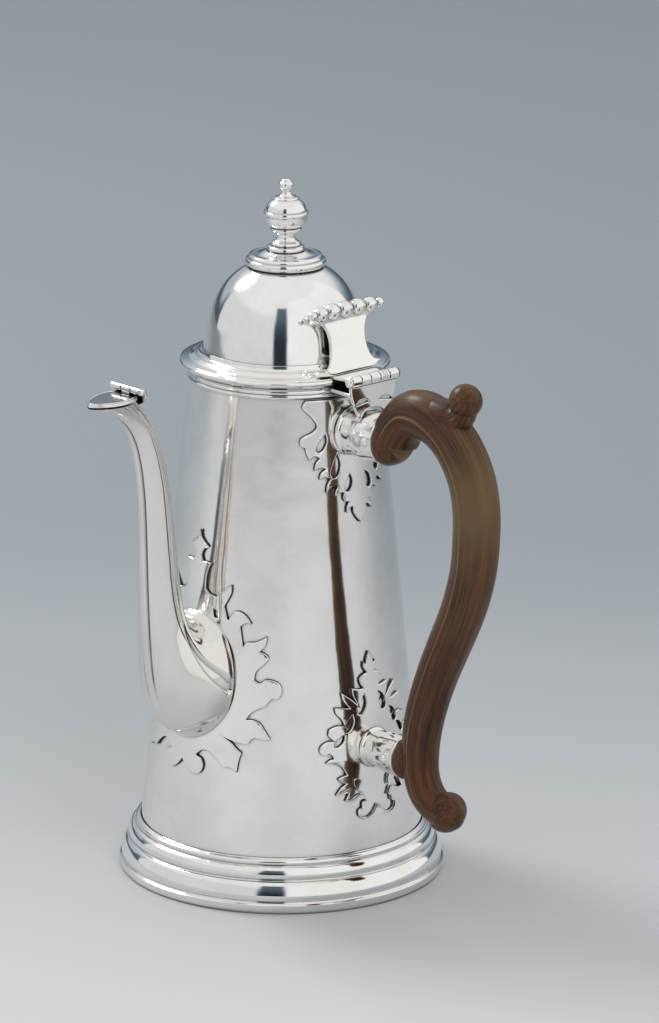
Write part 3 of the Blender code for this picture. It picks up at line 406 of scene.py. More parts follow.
def turned(name, profile, material, steps=160, closed=True, place=along_z, sharp=38):
    """A solid of revolution from (radius, height) points; a radius of 0 is a pole."""
    bm = bmesh.new()
    rings = []
    for r, z in profile:
        if r < 1e-4:
            rings.append([bm.verts.new(place(0, 0, z))])
        else:
            rings.append([bm.verts.new(place(r, TAU * i / steps, z)) for i in range(steps)])
    pairs = list(zip(rings, rings[1:])) + ([(rings[-1], rings[0])] if closed else [])
    for a, b in pairs:
        for i in range(steps):
            j = (i + 1) % steps
            if len(a) == 1 and len(b) == 1:
                break
            if len(a) == 1:
                bm.faces.new((a[0], b[j], b[i]))
            elif len(b) == 1:
                bm.faces.new((a[i], a[j], b[0]))
            else:
                bm.faces.new((a[i], a[j], b[j], b[i]))
    return finish_mesh(bm, name, material, sharp)


def axis_place(centre, axis, side):
    """Places turned profiles on any axis."""
    axis, side = Vector(axis).normalized(), Vector(side).normalized()
    other = axis.cross(side)
    return lambda r, angle, z: (Vector(centre) + axis * z
                                + (side * math.cos(angle) + other * math.sin(angle)) * r) * MM


def along_y(x, z):
    """Places turned profiles on an axis along Y."""
    return axis_place((x, 0, z), (0, 1, 0), (1, 0, 0))


def unit(value):
    return max(0.0, min(1.0, value))


def smooth(value, low, high):
    t = unit((value - low) / (high - low))
    return t * t * (3 - 2 * t)


def bell(value, middle, width):
    return math.exp(-((value - middle) / width) ** 2)


def lofted(name, rings, flows, material, sharp):
    """A closed body through rings of points, each point with its place in the grain."""
    bm = bmesh.new()
    flow = bm.verts.layers.float_vector.new("flow")
    loops = []
    for ring, ring_flows in zip(rings, flows):
        loop = [bm.verts.new(Vector(p) * MM) for p in ring]
        for v, f in zip(loop, ring_flows):
            v[flow] = Vector(f) * MM
        loops.append(loop)
    for a, b in zip(loops, loops[1:]):
        for i in range(len(a)):
            j = (i + 1) % len(a)
            bm.faces.new((a[i], a[j], b[j], b[i]))
    for loop in (loops[0], loops[-1]):
        middle = bm.verts.new(sum((v.co for v in loop), Vector()) / len(loop))
        middle[flow] = sum((v[flow] for v in loop), Vector()) / len(loop)
        for i in range(len(loop)):
            bm.faces.new((loop[i], loop[(i + 1) % len(loop)], middle))
    return finish_mesh(bm, name, material, sharp)


def plate(name, outline, holes, thickness, edge, place, material, strips=1.6, sharp=32, walls=None):
    """Sheet metal cut to an outline, with rounded edges, then laid on a surface by place(u, v, height)."""
    data = bpy.data.curves.new(name, "CURVE")
    data.dimensions, data.fill_mode = "2D", "BOTH"
    data.extrude, data.bevel_depth, data.bevel_resolution = thickness / 2 - edge, edge, 2
    data.offset = -edge
    for line in [outline] + list(holes):
        spline = data.splines.new("POLY")
        spline.points.add(len(line) - 1)
        for point, p in zip(spline.points, line):
            point.co = (p[0], p[1], 0, 1)
        spline.use_cyclic_u = True
    holder = added(name + "_outline", data)
    flat = bpy.data.meshes.new_from_object(holder.evaluated_get(bpy.context.evaluated_depsgraph_get()))
    bpy.data.objects.remove(holder)
    bm = bmesh.new()
    bm.from_mesh(flat)
    bmesh.ops.remove_doubles(bm, verts=bm.verts, dist=1e-4)
    low, high = min(p[0] for p in outline), max(p[0] for p in outline)
    cut = low + strips
    while cut < high:
        bmesh.ops.bisect_plane(bm, geom=bm.verts[:] + bm.edges[:] + bm.faces[:], plane_co=(cut, 0, 0),
                               plane_no=(1, 0, 0))
        cut += strips
    bm.normal_update()
    # cut edges take the walls material; for the cards that is the dark painted-shade silver
    for face in bm.faces:
        face.material_index = 1 if walls and abs(face.normal.z) < 0.35 else 0
    for v in bm.verts:
        v.co = place(v.co.x, v.co.y, v.co.z + thickness / 2)
    piece = finish_mesh(bm, name, material, sharp)
    if walls:
        piece.data.materials.append(walls)
    return piece


def on_body(facing):
    """Lays a sheet on the body's cone round a direction, with u measured along the surface."""
    def place(u, z, height):
        r = body_radius(z)
        angle = u / r + facing
        return Vector(((r + height) * math.cos(angle), (r + height) * math.sin(angle), z)) * MM
    return place


def both_sides(half):
    """A closed outline from its right half, top to bottom; points keep their sharp marks."""
    return list(half) + [(-p[0],) + tuple(p[1:]) for p in reversed(half) if abs(p[0]) > 0.01]


def join(name, pieces):
    """One object from several closed shells."""
    bm = bmesh.new()
    for piece in pieces:
        bm.from_mesh(piece.data)
    mesh = bpy.data.meshes.new(name)
    bm.to_mesh(mesh)
    bm.free()
    mesh.materials.append(pieces[0].data.materials[0])
    for piece in pieces:
        bpy.data.objects.remove(piece)
    return added(name, mesh)


def cut_away(piece, cutter, sharp):
    modifier = piece.modifiers.new("cut", "BOOLEAN")
    modifier.operation, modifier.solver, modifier.object = "DIFFERENCE", "EXACT", cutter
    mesh = bpy.data.meshes.new_from_object(piece.evaluated_get(bpy.context.evaluated_depsgraph_get()))
    piece.modifiers.clear()
    piece.data = mesh
    mesh.shade_smooth()
    mesh.set_sharp_from_angle(angle=math.radians(sharp))
    bpy.data.objects.remove(cutter)


def stands_for(piece, body, slot, *names):
    """The piece rides on a body and stands for CAD nodes; unless its slot is handle_wood, it gets weighted
    normals.
    """
    if slot != "handle_wood":
        flat = piece.modifiers.new("flat_faces", "WEIGHTED_NORMAL")
        flat.keep_sharp = True
    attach(piece, body)
    if names:
        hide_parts(*names)
    return piece


# body, base, foot, rim
def make_body():
    outer = [(body_radius(z), z) for z in (BODY_BASE_Z, 3.3, 30, 60, 90, 120, 150, 172, 185.4, BODY_TOP_Z)]
    inner = [(r - BODY_WALL, z) for r, z in reversed(outer)]
    body = turned("body", soften(outer + inner, 0.25, True), BODY_SILVER, 200)
    drills = []
    for row in (-2, -1, 0, 1, 2):
        height = STRAINER_Z + row * STRAINER_PITCH * 0.87
        for column in range(-2, 3):
            aside = (column + (0.5 if row % 2 else 0.0)) * STRAINER_PITCH
            if math.hypot(aside, row * 5.4) < STRAINER_R:
                place = axis_place((aside, -58, height), (0, 1, 0), (1, 0, 0))
                drill = [(0, 0), (STRAINER_HOLE_R, 0), (STRAINER_HOLE_R, 20), (0, 20)]
                drills.append(turned("drill", drill, BODY_SILVER, 20, False, place))
    cut_away(body, join("drills", drills), 30)
    body.data.materials.append(INNER_SILVER)
    for face in body.data.polygons:
        centre = face.center / MM
        if math.hypot(centre.x, centre.y) < body_radius(centre.z) - 0.5:
            face.material_index = 1
    stands_for(body, "pot", "silver_body", "body_shell")


def make_base():
    under = [
        (0, 1.35), (0.5, 1.2), (3, 1.2), (3.6, 1.45), (4.2, 1.2), (40, 1.2), (40.6, 1.4), (41.2, 1.2),
        (55.9, 1.2), (56.1, 1.4), (56.1, 2.0), (55.9, 2.2), (0, 2.2)
    ]
    stands_for(turned("base_sheet", under, BODY_SILVER, 160, False), "pot", "silver_body", "base_plate")


def make_foot():
    line = [
        (58.3, 0.0, 1), (58.55, 0.9), (58.75, 2.2), (58.72, 3.2, 1), (57.9, 3.75, 1), (57.75, 4.3, 1),
        (58.1, 5.0), (58.15, 6.4), (57.7, 8.2), (56.9, 10.0), (56.0, 11.0, 1), (55.3, 11.25, 1),
        (55.15, 11.7, 1), (55.5, 12.6), (55.3, 14.2), (54.5, 15.6), (53.7, 16.2, 1), (53.0, 16.45, 1),
        (53.1, 17.1), (52.9, 17.9), (52.0, 18.5), (51.3, 18.75, 1)
    ]
    outer = flowing(line, 6)
    inner = [
        (51.2, 18.5), (body_radius(14) + 0.15, 14.0), (body_radius(3) + 0.5, 4.2), (56.4, 3.6), (56.4, 0.0)
    ]
    foot = turned("foot", soften(outer + inner, 0.22, True), TURNED_SILVER, 200)
    stands_for(foot, "pot", "silver_foot", "foot_moulding")


def make_rim():
    top, base = BODY_TOP_Z - 0.5, 182.4
    line = [
        (body_radius(base) + 0.06, base - 0.15, 1), (34.75, base + 0.1, 1), (35.15, base + 0.75),
        (34.95, base + 1.4, 1), (34.55, base + 1.55, 1), (34.75, base + 2.1), (34.65, base + 2.75),
        (34.35, base + 3.1, 1), (34.15, top, 1), (body_radius(top) + 0.06, top, 1)
    ]
    rim = turned("body_rim", soften(flowing(line, 5), 0.12, True), TURNED_SILVER, 200)
    stands_for(rim, "pot", "silver_foot", "body_rim_moulding")


make_body()
make_base()
make_foot()
make_rim()


# lid: flange, dome, bezel, finial
def make_lid():
    z = FLANGE_Z
    line = [
        (34.4, z, 1), (36.1, z + 0.15, 1), (36.6, z + 0.7, 1), (37.3, z + 1.0), (37.55, z + 1.65),
        (37.2, z + 2.25, 1), (36.4, z + 2.45, 1), (36.2, z + 2.75, 1), (35.1, z + 2.95), (33.9, z + 3.2),
        (33.0, z + 3.7), (32.2, z + 4.25, 1), (31.5, z + 4.35, 1), (30.7, z + 4.6), (30.05, z + 5.3),
        (29.75, z + 6.2), (29.6, z + 6.5, 1)
    ]
    ring = flowing(line, 5) + [(29.0, z + 6.4), (28.7, z + 3.4), (31.0, z + 1.2), (34.2, z + 0.9)]
    stands_for(turned("lid_flange", soften(ring, 0.14, True), TURNED_SILVER, 200), "lid", "silver_lid",
               "lid_flange_moulding")

    shares = [
        (0.998, 0.0), (0.988, 0.04), (0.97, 0.13), (0.945, 0.25), (0.915, 0.38), (0.872, 0.51),
        (0.81, 0.635), (0.73, 0.745), (0.635, 0.835), (0.53, 0.905), (0.43, 0.955), (0.34, 0.985),
        (0.2, 1.0)
    ]
    outer = curve_through([(DOME_R * r, DOME_Z + DOME_H * h) for r, h in shares], 5)
    inner = curve_through([(DOME_R * r - 1.0 - (0.4 if r < 0.5 else 0.0), DOME_Z + (DOME_H - 1.0) * h)
                           for r, h in reversed(shares)], 5)
    outer = [(r, max(h, DOME_Z + 0.05)) for r, h in outer]
    stands_for(turned("dome", outer + inner, DOME_SILVER, 200), "lid", "silver_lid", "lid_dome")

    low, high = 179.4, z - 0.15
    bezel = [
        (32.2, high), (32.35, low + 1.2), (32.05, low + 0.1), (31.6, low), (31.35, low + 0.4), (31.3, high)
    ]
    stands_for(turned("bezel", soften(bezel, 0.2, True), INNER_SILVER, 160), "lid", "silver_lid", "lid_bezel")


def make_finial():
    disc = [
        (0, 224.0, 1), (11.8, 222.8, 1), (13.5, 222.65, 1), (14.2, 223.3), (14.45, 224.4), (14.1, 225.3, 1),
        (13.4, 225.45, 1), (13.35, 226.1), (12.9, 226.75, 1), (12.0, 226.95, 1), (10.2, 226.9), (8.6, 227.3),
        (7.4, 228.0, 1), (6.6, 228.15, 1), (0, 228.15, 1)
    ]
    piece = turned("finial_base", soften(flowing(disc, 5), 0.1), TURNED_SILVER, 128, False)
    stands_for(piece, "lid", "silver_finial", "finial_disc")

    line = [
        (0, 228.2, 1), (6.5, 228.2, 1), (6.75, 228.8), (6.5, 229.6), (5.9, 229.9, 1), (5.3, 230.1, 1),
        (5.5, 230.6), (5.2, 231.2, 1), (4.2, 231.7), (3.5, 232.6), (3.35, 233.5), (3.6, 234.5),
        (4.2, 235.0, 1), (5.1, 235.1, 1), (5.6, 235.55), (5.55, 236.2), (5.2, 236.6, 1), (5.6, 236.8, 1),
        (6.7, 237.6), (7.4, 238.8), (7.6, 240.2), (7.55, 241.0, 1), (7.95, 241.15, 1), (8.05, 241.7),
        (7.9, 242.3, 1), (7.3, 242.45, 1), (7.25, 243.2), (6.7, 244.6), (5.6, 245.8), (4.5, 246.5, 1),
        (4.45, 247.1), (4.0, 247.45, 1), (2.9, 247.6), (2.0, 248.3), (1.62, 249.3), (1.75, 250.0),
        (2.2, 250.4, 1), (2.5, 250.8), (2.62, 251.6), (2.5, 252.4), (2.05, 252.9, 1), (1.7, 253.1, 1),
        (1.55, 253.6), (0.9, 253.93), (0, 254.0)
    ]
    piece = turned("finial_knop", soften(flowing(line, 5), 0.08), TURNED_SILVER, 128, False)
    stands_for(piece, "lid", "silver_finial", "finial")
    for name in ("finial_stud", "finial_nut"):
        nodes[name].data.materials.clear()
        nodes[name].data.materials.append(FITTING_SILVER)


make_lid()
make_finial()


# lid hinge and thumbpiece
def knuckle(name, start, end, x, z, radius, lines=()):
    """A hinge knuckle along Y with rounded ends and turned lines."""
    profile = [(radius * 0.6, start), (radius - 0.15, start), (radius, start + 0.18)]
    for at in lines:
        spot = start + (end - start) * at
        groove = radius - 0.2
        profile += [(radius, spot - 0.22), (groove, spot - 0.08)]
        profile += [(groove, spot + 0.08), (radius, spot + 0.22)]
    profile += [(radius, end - 0.18), (radius - 0.15, end), (radius * 0.6, end)]
    return turned(name, profile, FITTING_SILVER, 48, True, along_y(x, z))


def rod(half, radius, steps, place):
    line = [(0, -half), (radius, -half), (radius, half), (0, half)]
    return turned("rod", line, FITTING_SILVER, steps, False, place)


def make_pin(name, head, half, radius, x, z, node):
    """A pin along Y: a rod between two heads, mirrored from one profile."""
    place = along_y(x, z)
    parts = [turned("head", [(r, side * y) for r, y in head], FITTING_SILVER, 40, False, place)
             for side in (-1, 1)]
    stands_for(join(name, parts + [rod(half, radius, 32, place)]), "pot", "silver_fittings", node)


def spans(count, length, gap=0.3):
    pitch = length / count
    return [(-length / 2 + pitch * i + gap / 2, -length / 2 + pitch * (i + 1) - gap / 2)
            for i in range(count)]


def make_lid_hinge():
    half = HINGE_LEN / 2
    fixed, moving = [], []
    for index, (start, end) in enumerate(spans(KNUCKLES, HINGE_LEN)):
        lines = (0.3, 0.5, 0.7) if index == 3 else ()
        (moving if index % 2 else fixed).append(
            knuckle(f"lid_knuckle_{index}", start, end, HINGE_X, HINGE_Z, HINGE_R, lines))
    # apron under the knuckles: sheet with scrolled sides and a pierced scroll
    right = [
        (0, 188.3, 1), (half - 0.3, 188.3, 1), (half - 0.5, 186.0), (half - 1.5, 182.8), (half - 2.9, 179.6),
        (half - 3.9, 177.6, 1), (half - 3.4, 176.4), (half - 4.6, 174.9), (6.0, 174.4, 1), (5.4, 177.2),
        (3.4, 179.3), (0, 180.0)
    ]
    outline = flowing(both_sides(right), 6, True)
    holes = []
    for side in (-1, 1):
        leaf = [
            (side * 2.4, 182.3, 1), (side * 4.6, 183.5), (side * 7.2, 183.2), (side * 9.0, 181.4, 1),
            (side * 7.2, 181.5), (side * 4.8, 181.9)
        ]
        holes.append(flowing(leaf, 5, True))
    face = HINGE_X + 0.75
    apron = plate("apron", outline, holes, 1.5, 0.3, lambda u, v, h: Vector((face - 1.5 + h, u, v)) * MM,
                  FITTING_SILVER)
    ledge = plate("ledge", flowing([(half - 0.6, 35.3, 1), (half - 0.2, HINGE_X, 1), (0.2 - half, HINGE_X, 1),
                                    (0.6 - half, 35.3, 1), (-6, 35.0), (0, 34.9), (6, 35.0)], 4, True),
                  [], 1.3, 0.25, lambda u, v, h: Vector((v, u, 184.9 + h)) * MM, FITTING_SILVER)
    shell = join("lid_hinge_plate", [apron, ledge] + fixed)
    stands_for(shell, "pot", "silver_fittings", "hinge_bracket")

    back = HINGE_X - 1.2
    corners = [(-half + 0.8, 35.6), (half - 0.8, 35.6), (half - 0.5, back), (0.5 - half, back)]
    outline = soften(corners, 1.0, True)
    leaf = plate("leaf", outline, [], 1.2, 0.25,
                 lambda u, v, h: Vector((v, u, 189.6 + 0.05 * (v - 35) + h)) * MM, FITTING_SILVER)
    clips, clear = [], HINGE_R + 0.35
    for a, b in spans(KNUCKLES, HINGE_LEN)[::2]:
        room = [(0, a - 0.1), (clear, a - 0.1), (clear, b + 0.1), (0, b + 0.1)]
        clips.append(turned("room", room, FITTING_SILVER, 32, False, along_y(HINGE_X, HINGE_Z)))
    cut_away(leaf, join("rooms", clips), 32)
    stands_for(join("lid_leaf", [leaf] + moving), "lid", "silver_fittings", "lid_hinge_leaf")

    end = half + 1.25
    head = [(0, end), (0.9, end - 0.1), (1.55, end - 0.45), (1.9, end - 0.95), (1.95, half + 0.12),
            (0, half + 0.12)]
    make_pin("lid_pin", head, half + 0.3, 0.9, HINGE_X, HINGE_Z, "lid_hinge_pin")


def thumb_place(u, v, h):
    """Bends the thumbpiece: its foot stands on the flange, it leans in and rolls out at the top."""
    z = THUMB_Z + v
    share = unit(v / 20.5)
    x = THUMB_X - 5.9 * share - 0.35 * math.sin(share * TAU)
    roll = max(0.0, v - 16.0) / 5.2
    x += 1.9 * roll ** 2 + 0.003 * u * u
    lean = Vector((0.95, 0, 0.28))
    return (Vector((x, u, z)) + lean * (h - 0.8)) * MM


def make_thumbpiece():
    right = [
        (0, -0.5, 1), (9.0, -0.5, 1), (11.4, 0.3), (13.2, 1.7, 1), (11.0, 2.3), (9.6, 3.8), (8.7, 6.4),
        (8.3, 9.6), (8.6, 12.8), (9.6, 15.4), (11.6, 17.6), (14.6, 19.2, 1), (14.4, 20.4), (11.0, 20.9),
        (6.0, 21.1), (0, 21.2)
    ]
    outline = flowing(both_sides(right), 6, True)
    shield = plate("thumbpiece_shield", outline, [], 1.6, 0.5, thumb_place, FITTING_SILVER, 1.2)
    stands_for(shield, "lid", "silver_fittings", "thumbpiece")
    beads = []
    row = [(0.0, 3.2, 3.0), (-6.1, 3.15, 2.95), (6.1, 3.15, 2.95), (-11.8, 2.85, 2.6), (11.8, 2.85, 2.6),
           (-16.1, 1.8, 1.75), (16.1, 1.8, 1.75)]
    for at, reach, radius in row:
        centre = thumb_place(at, BEAD_V, 0.8) / MM
        centre.z += 0.2
        line = [(radius * math.sin(math.pi * k / 18), -reach * math.cos(math.pi * k / 18)) for k in range(19)]
        line = [(0 if k in (0, 18) else r, y) for k, (r, y) in enumerate(line)]
        place = axis_place(centre, (0, 1, 0), (1, 0, 0))
        beads.append(turned("bead", line, FITTING_SILVER, 32, False, place, 180))
    stands_for(join("thumbpiece_bead_row", beads), "lid", "silver_fittings", "thumbpiece_beads")


make_lid_hinge()
make_thumbpiece()


# sockets, pins and wooden handle
def make_socket(name, start, end, z, radius, waist, node):
    """A tube along +X: collar at the body, step, then a barrel that swells to its lipped end."""
    long = end - start
    line = [
        (waist + 1.1, start, 1), (waist + 1.15, start + 0.9), (waist + 0.45, start + 1.5, 1),
        (waist + 0.1, start + 1.9, 1), (waist, start + long * 0.28), (waist + 0.1, start + long * 0.36, 1),
        (waist + 0.75, start + long * 0.39, 1), (waist + 0.95, start + long * 0.5),
        (radius - 0.1, start + long * 0.72), (radius - 0.05, end - 1.2, 1), (radius, end - 0.9),
        (radius, end - 0.3), (radius - 0.25, end, 1)
    ]
    inner = [(radius - 1.1, end), (radius - 1.2, end - 9.5), (waist - 1.1, end - 10.5), (waist - 1.1, start)]
    tube = turned(name, soften(flowing(line, 5) + inner, 0.12, True), FITTING_SILVER, 96, True,
                  axis_place((0, 0, z), (1, 0, 0), (0, 1, 0)))
    stands_for(tube, "pot", "silver_fittings", node)


def handle_pin(name, x, z, reach, node):
    head = [(0, reach + 0.75), (0.8, reach + 0.65), (1.4, reach + 0.35), (1.75, reach - 0.1),
            (1.75, reach - 0.35), (0, reach - 0.35)]
    make_pin(name, head, reach, 1.25, x, z, node)


# half of the wood's section, from its outer face round to its inner face: depth, width
SECTION = [
    (1.0, 0.0), (0.965, 0.27), (0.87, 0.51), (0.70, 0.72), (0.48, 0.875), (0.26, 0.965), (0.11, 0.99),
    (0.03, 1.035), (-0.05, 0.972), (-0.22, 0.925), (-0.46, 0.805), (-0.70, 0.62), (-0.885, 0.36),
    (-0.95, 0.0)
]
HANDLE_LINE = [
    (57.2, 164.8, 4.4), (56.3, 167.4, 7.6), (56.8, 171.0, 8.8), (60.0, 176.6, 8.6), (65.6, 181.4, 8.6),
    (74.0, 182.0, 8.8), (83.0, 178.4, 8.7), (90.0, 172.3, 8.7), (95.4, 163.6, 8.7), (97.9, 153.4, 8.7),
    (98.1, 142.6, 8.65), (97.0, 131.6, 8.5), (93.8, 120.0, 8.35), (89.6, 110.0, 8.15), (84.6, 99.7, 7.95),
    (79.8, 89.4, 7.7), (75.9, 79.3, 7.5), (73.1, 69.4, 7.3), (71.9, 59.8, 7.0), (72.4, 51.6, 6.7),
    (75.3, 44.9, 6.6), (80.6, 41.0, 6.3), (86.3, 40.0, 6.4), (89.4, 40.6, 5.0), (91.6, 41.4, 2.4)
]


def wood_sweep(name, line, steps, ridge=1.0, slim=0.98):
    rows = curve_through(line, steps)
    half = curve_through(SECTION, 3)
    section = half + [(a, -b) for a, b in reversed(half[1:-1])]
    rings, flows, run = [], [], 0.0
    for i, (x, z, radius) in enumerate(rows):
        before, after = rows[max(i - 1, 0)], rows[min(i + 1, len(rows) - 1)]
        ahead = Vector((after[0] - before[0], 0, after[1] - before[1])).normalized()
        out = ahead.cross(Vector((0, 1, 0)))
        if i:
            run += math.hypot(x - rows[i - 1][0], z - rows[i - 1][1])
        fade = ridge * unit(run / 14) * unit((len(rows) - 1 - i) / (steps * 4.5))
        ring, flow = [], []
        for depth, width in section:
            angle = math.atan2(width, depth)
            depth = depth * fade + math.cos(angle) * (1 - fade)
            width = width * fade + math.sin(angle) * (1 - fade)
            ring.append(Vector((x, 0, z)) - out * (depth * radius) + Vector((0, width * radius * slim, 0)))
            flow.append((run, width * radius, depth * radius))
        rings.append(ring)
        flows.append(flow)
    return lofted(name, rings, flows, WOOD, 60)


def ball(name, x, z, radius):
    """The round end of a scroll: a slightly flattened ball with a small raised eye on each side."""
    line = []
    for k in range(25):
        angle = math.pi * k / 24
        r, y = radius * math.sin(angle), -radius * 0.97 * math.cos(angle)
        y += math.copysign(0.28 * bell(r, 0, 1.1) - 0.22 * bell(r, 2.0, 0.5), y)
        line.append((r if 0 < k < 24 else 0, y))
    piece = turned(name, curve_through(line, 2), WOOD, 72, False, along_y(x, z), 180)
    # the 0.2 offset along the grain keeps the ball outside the painted olive light of the grip's middle
    set_flow(piece, lambda co: (co.x * 0.7 + co.z * 0.7 + 0.2, co.y, co.z * 0.7 - co.x * 0.7))
    return piece


def set_flow(piece, way):
    """Gives a turned piece of wood its grain."""
    flow = piece.data.attributes.new("flow", "FLOAT_VECTOR", "POINT")
    for v in piece.data.vertices:
        flow.data[v.index].vector = way(v.co)


def make_handle():
    arm = wood_sweep("arm", HANDLE_LINE, 8)
    curl = wood_sweep("curl", [(66.0, 181.4, 5.4), (72.0, 183.4, 6.2), (79.0, 183.2, 6.6), (85.5, 183.2, 6.1),
                               (89.6, 185.2, 4.8), (91.2, 188.4, 4.4), (91.4, 191.0, 3.6)], 8, 0.0, 1.0)
    lower = wood_sweep("lower_ball", [(78.0, 36.4, 2.2), (81.5, 36.6, 4.4), (85.4, 38.2, 5.4),
                                      (87.0, 40.6, 5.0), (86.6, 42.4, 3.4)], 7, 0.0, 1.0)
    parts = [arm, curl, lower, ball("curl_ball", 91.4, 191.0, 6.0), ball("lower_ball_end", 86.2, 41.0, 6.5)]
    for end_x, z, radius in ((UPPER_END_X, UPPER_Z, UPPER_R), (LOWER_END_X, LOWER_Z, LOWER_R)):
        line = flowing([(0, end_x - 9.4, 1), (radius - 1.7, end_x - 9.4, 1), (radius - 1.6, end_x + 0.2, 1),
                        (radius - 0.15, end_x + 0.25, 1), (radius + 0.15, end_x + 1.4),
                        (radius - 0.2, end_x + 3.2),
                        (radius - 1.6, end_x + 6.0), (radius - 3.6, end_x + 8.0, 1), (0, end_x + 8.0, 1)], 4)
        parts.append(turned("shoulder", line, WOOD, 64, False, axis_place((0, 0, z), (1, 0, 0), (0, 1, 0))))
        set_flow(parts[-1], lambda co: (co.z, co.y, co.x))
    stands_for(join("wooden_handle", parts), "pot", "handle_wood", "handle")


make_socket("upper_socket_tube", 35.6, UPPER_END_X, UPPER_Z, UPPER_R, 8.15, "upper_socket")
make_socket("lower_socket_tube", 47.4, LOWER_END_X, LOWER_Z, LOWER_R, 6.1, "lower_socket")
handle_pin("upper_pin", UPPER_PIN_X, UPPER_Z, UPPER_R, "upper_handle_pin")
handle_pin("lower_pin", LOWER_PIN_X, LOWER_Z, LOWER_R, "lower_handle_pin")
make_handle()


# cut-cards: flame-edged sheets; corners marked 1 are sharp tips or notches
def leaf_slot(x, z, length, width, lean):
    """A pierced leaf-shaped slot, pointed above and round below."""
    c, s = math.cos(lean), math.sin(lean)
    shape = [(0, 0.5, 1), (0.55, 0.15), (0.5, -0.3), (0, -0.5), (-0.45, -0.3), (-0.3, 0.1)]
    line = [(p[0] * width, p[1] * length) + tuple(p[2:]) for p in shape]
    line = [(x + a[0] * c - a[1] * s, z + a[0] * s + a[1] * c) + tuple(a[2:]) for a in line]
    return flowing(line, 5, True)


UPPER_CARD = [
    (0, 181.9, 1), (18.6, 181.9, 1), (19.9, 179.6), (17.0, 176.2), (15.2, 172.8), (17.2, 170.6),
    (20.2, 169.4), (21.6, 167.9), (21.2, 166.0), (19.8, 165.4, 1), (19.6, 163.4), (18.6, 160.8, 1),
    (16.6, 162.2), (14.9, 161.4, 1), (16.6, 159.6), (17.2, 157.0, 1), (15.0, 158.0), (12.9, 157.4, 1),
    (14.9, 156.0), (15.6, 153.8, 1), (13.3, 154.4), (11.2, 153.9, 1), (12.9, 151.6), (13.3, 148.8, 1),
    (11.2, 150.9), (8.8, 150.6, 1), (9.9, 148.9), (9.9, 147.3, 1), (8.4, 148.4), (6.5, 148.2, 1),
    (6.9, 146.4), (6.2, 145.0), (4.6, 144.8, 1), (5.7, 142.9), (5.8, 140.8, 1), (4.2, 142.6),
    (3.0, 142.7, 1), (2.9, 140.6), (1.6, 138.4), (0, 136.6, 1)
]
LOWER_CARD = [
    (0, 90.2, 1), (1.2, 88.0), (1.9, 85.8), (2.6, 86.8, 1), (3.0, 84.8), (1.7, 82.6, 1), (3.4, 82.2),
    (5.0, 80.9, 1), (4.7, 79.0), (3.6, 77.2, 1), (5.7, 77.3), (8.3, 77.9, 1), (8.2, 75.4), (6.6, 72.0, 1),
    (9.0, 74.2), (12.8, 77.0, 1), (12.1, 74.0), (9.8, 71.0, 1), (11.8, 71.3), (15.6, 71.9, 1), (15.2, 69.6),
    (13.2, 67.2), (12.0, 64.6, 1), (14.6, 65.4), (18.2, 64.4, 1), (18.6, 62.0), (16.6, 59.9, 1),
    (19.2, 60.0), (21.6, 58.6), (22.2, 56.6), (20.8, 55.0), (18.8, 55.6, 1), (17.6, 54.6), (17.2, 53.6, 1),
    (18.6, 53.4), (20.4, 52.2, 1), (17.4, 51.8), (14.4, 50.2), (12.6, 47.2, 1), (14.2, 46.9),
    (16.2, 46.2, 1), (15.2, 44.9), (13.2, 44.0, 1), (15.4, 42.6), (17.4, 40.2, 1), (14.2, 40.8),
    (11.6, 41.6, 1), (12.6, 40.0), (13.9, 37.8, 1), (10.6, 37.7), (7.2, 39.2), (5.6, 37.0, 1), (7.0, 36.4),
    (7.2, 34.6, 1), (8.9, 33.6), (8.6, 31.4), (6.0, 30.2), (3.0, 31.0), (0.9, 33.0), (0, 34.2, 1)
]
SPOUT_CARD = [
    (0, 133.2, 1), (0.8, 130.6), (2.6, 129.0), (4.5, 127.6, 1), (2.6, 126.4), (1.6, 124.2), (2.4, 122.0, 1),
    (4.2, 122.2), (6.4, 122.0, 1), (5.2, 119.6), (4.6, 116.4), (4.8, 112.6, 1), (6.6, 111.2),
    (9.4, 110.6, 1), (11.6, 112.6), (15.2, 115.6, 1), (15.4, 112.8), (14.2, 109.8), (13.1, 107.6, 1),
    (14.0, 105.2), (15.0, 103.0), (16.4, 105.6), (18.4, 106.6), (21.4, 105.4), (23.9, 102.4, 1),
    (21.8, 102.6), (19.8, 101.2, 1), (20.6, 97.8), (21.4, 94.2, 1), (22.8, 95.8), (25.8, 96.2),
    (29.9, 98.3, 1), (29.4, 95.2), (27.6, 92.8, 1), (29.4, 92.2), (31.0, 90.6), (29.4, 88.2), (27.0, 85.6),
    (26.6, 82.6, 1), (28.6, 81.6), (30.4, 83.0, 1), (32.6, 82.8), (35.4, 81.6), (36.6, 78.8), (35.6, 76.2),
    (33.2, 76.0, 1), (32.0, 74.4), (31.2, 73.2, 1), (29.0, 72.2), (26.4, 70.4), (25.0, 68.2, 1),
    (27.6, 68.2), (30.0, 67.2, 1), (31.8, 64.8), (34.2, 61.4, 1), (31.2, 61.2), (28.6, 61.8),
    (27.2, 60.8, 1), (26.6, 59.6), (25.8, 59.2, 1), (22.6, 59.4), (17.4, 60.8, 1), (20.4, 59.2),
    (22.4, 57.4), (24.4, 56.0, 1), (23.6, 53.0), (23.2, 48.7, 1), (20.6, 50.2), (17.6, 50.2), (15.4, 52.2),
    (11.8, 54.8), (8.6, 54.6), (6.4, 52.6, 1), (8.8, 51.6), (9.8, 49.0), (8.6, 46.4), (5.6, 45.6),
    (2.4, 47.2), (0, 50.0, 1)
]


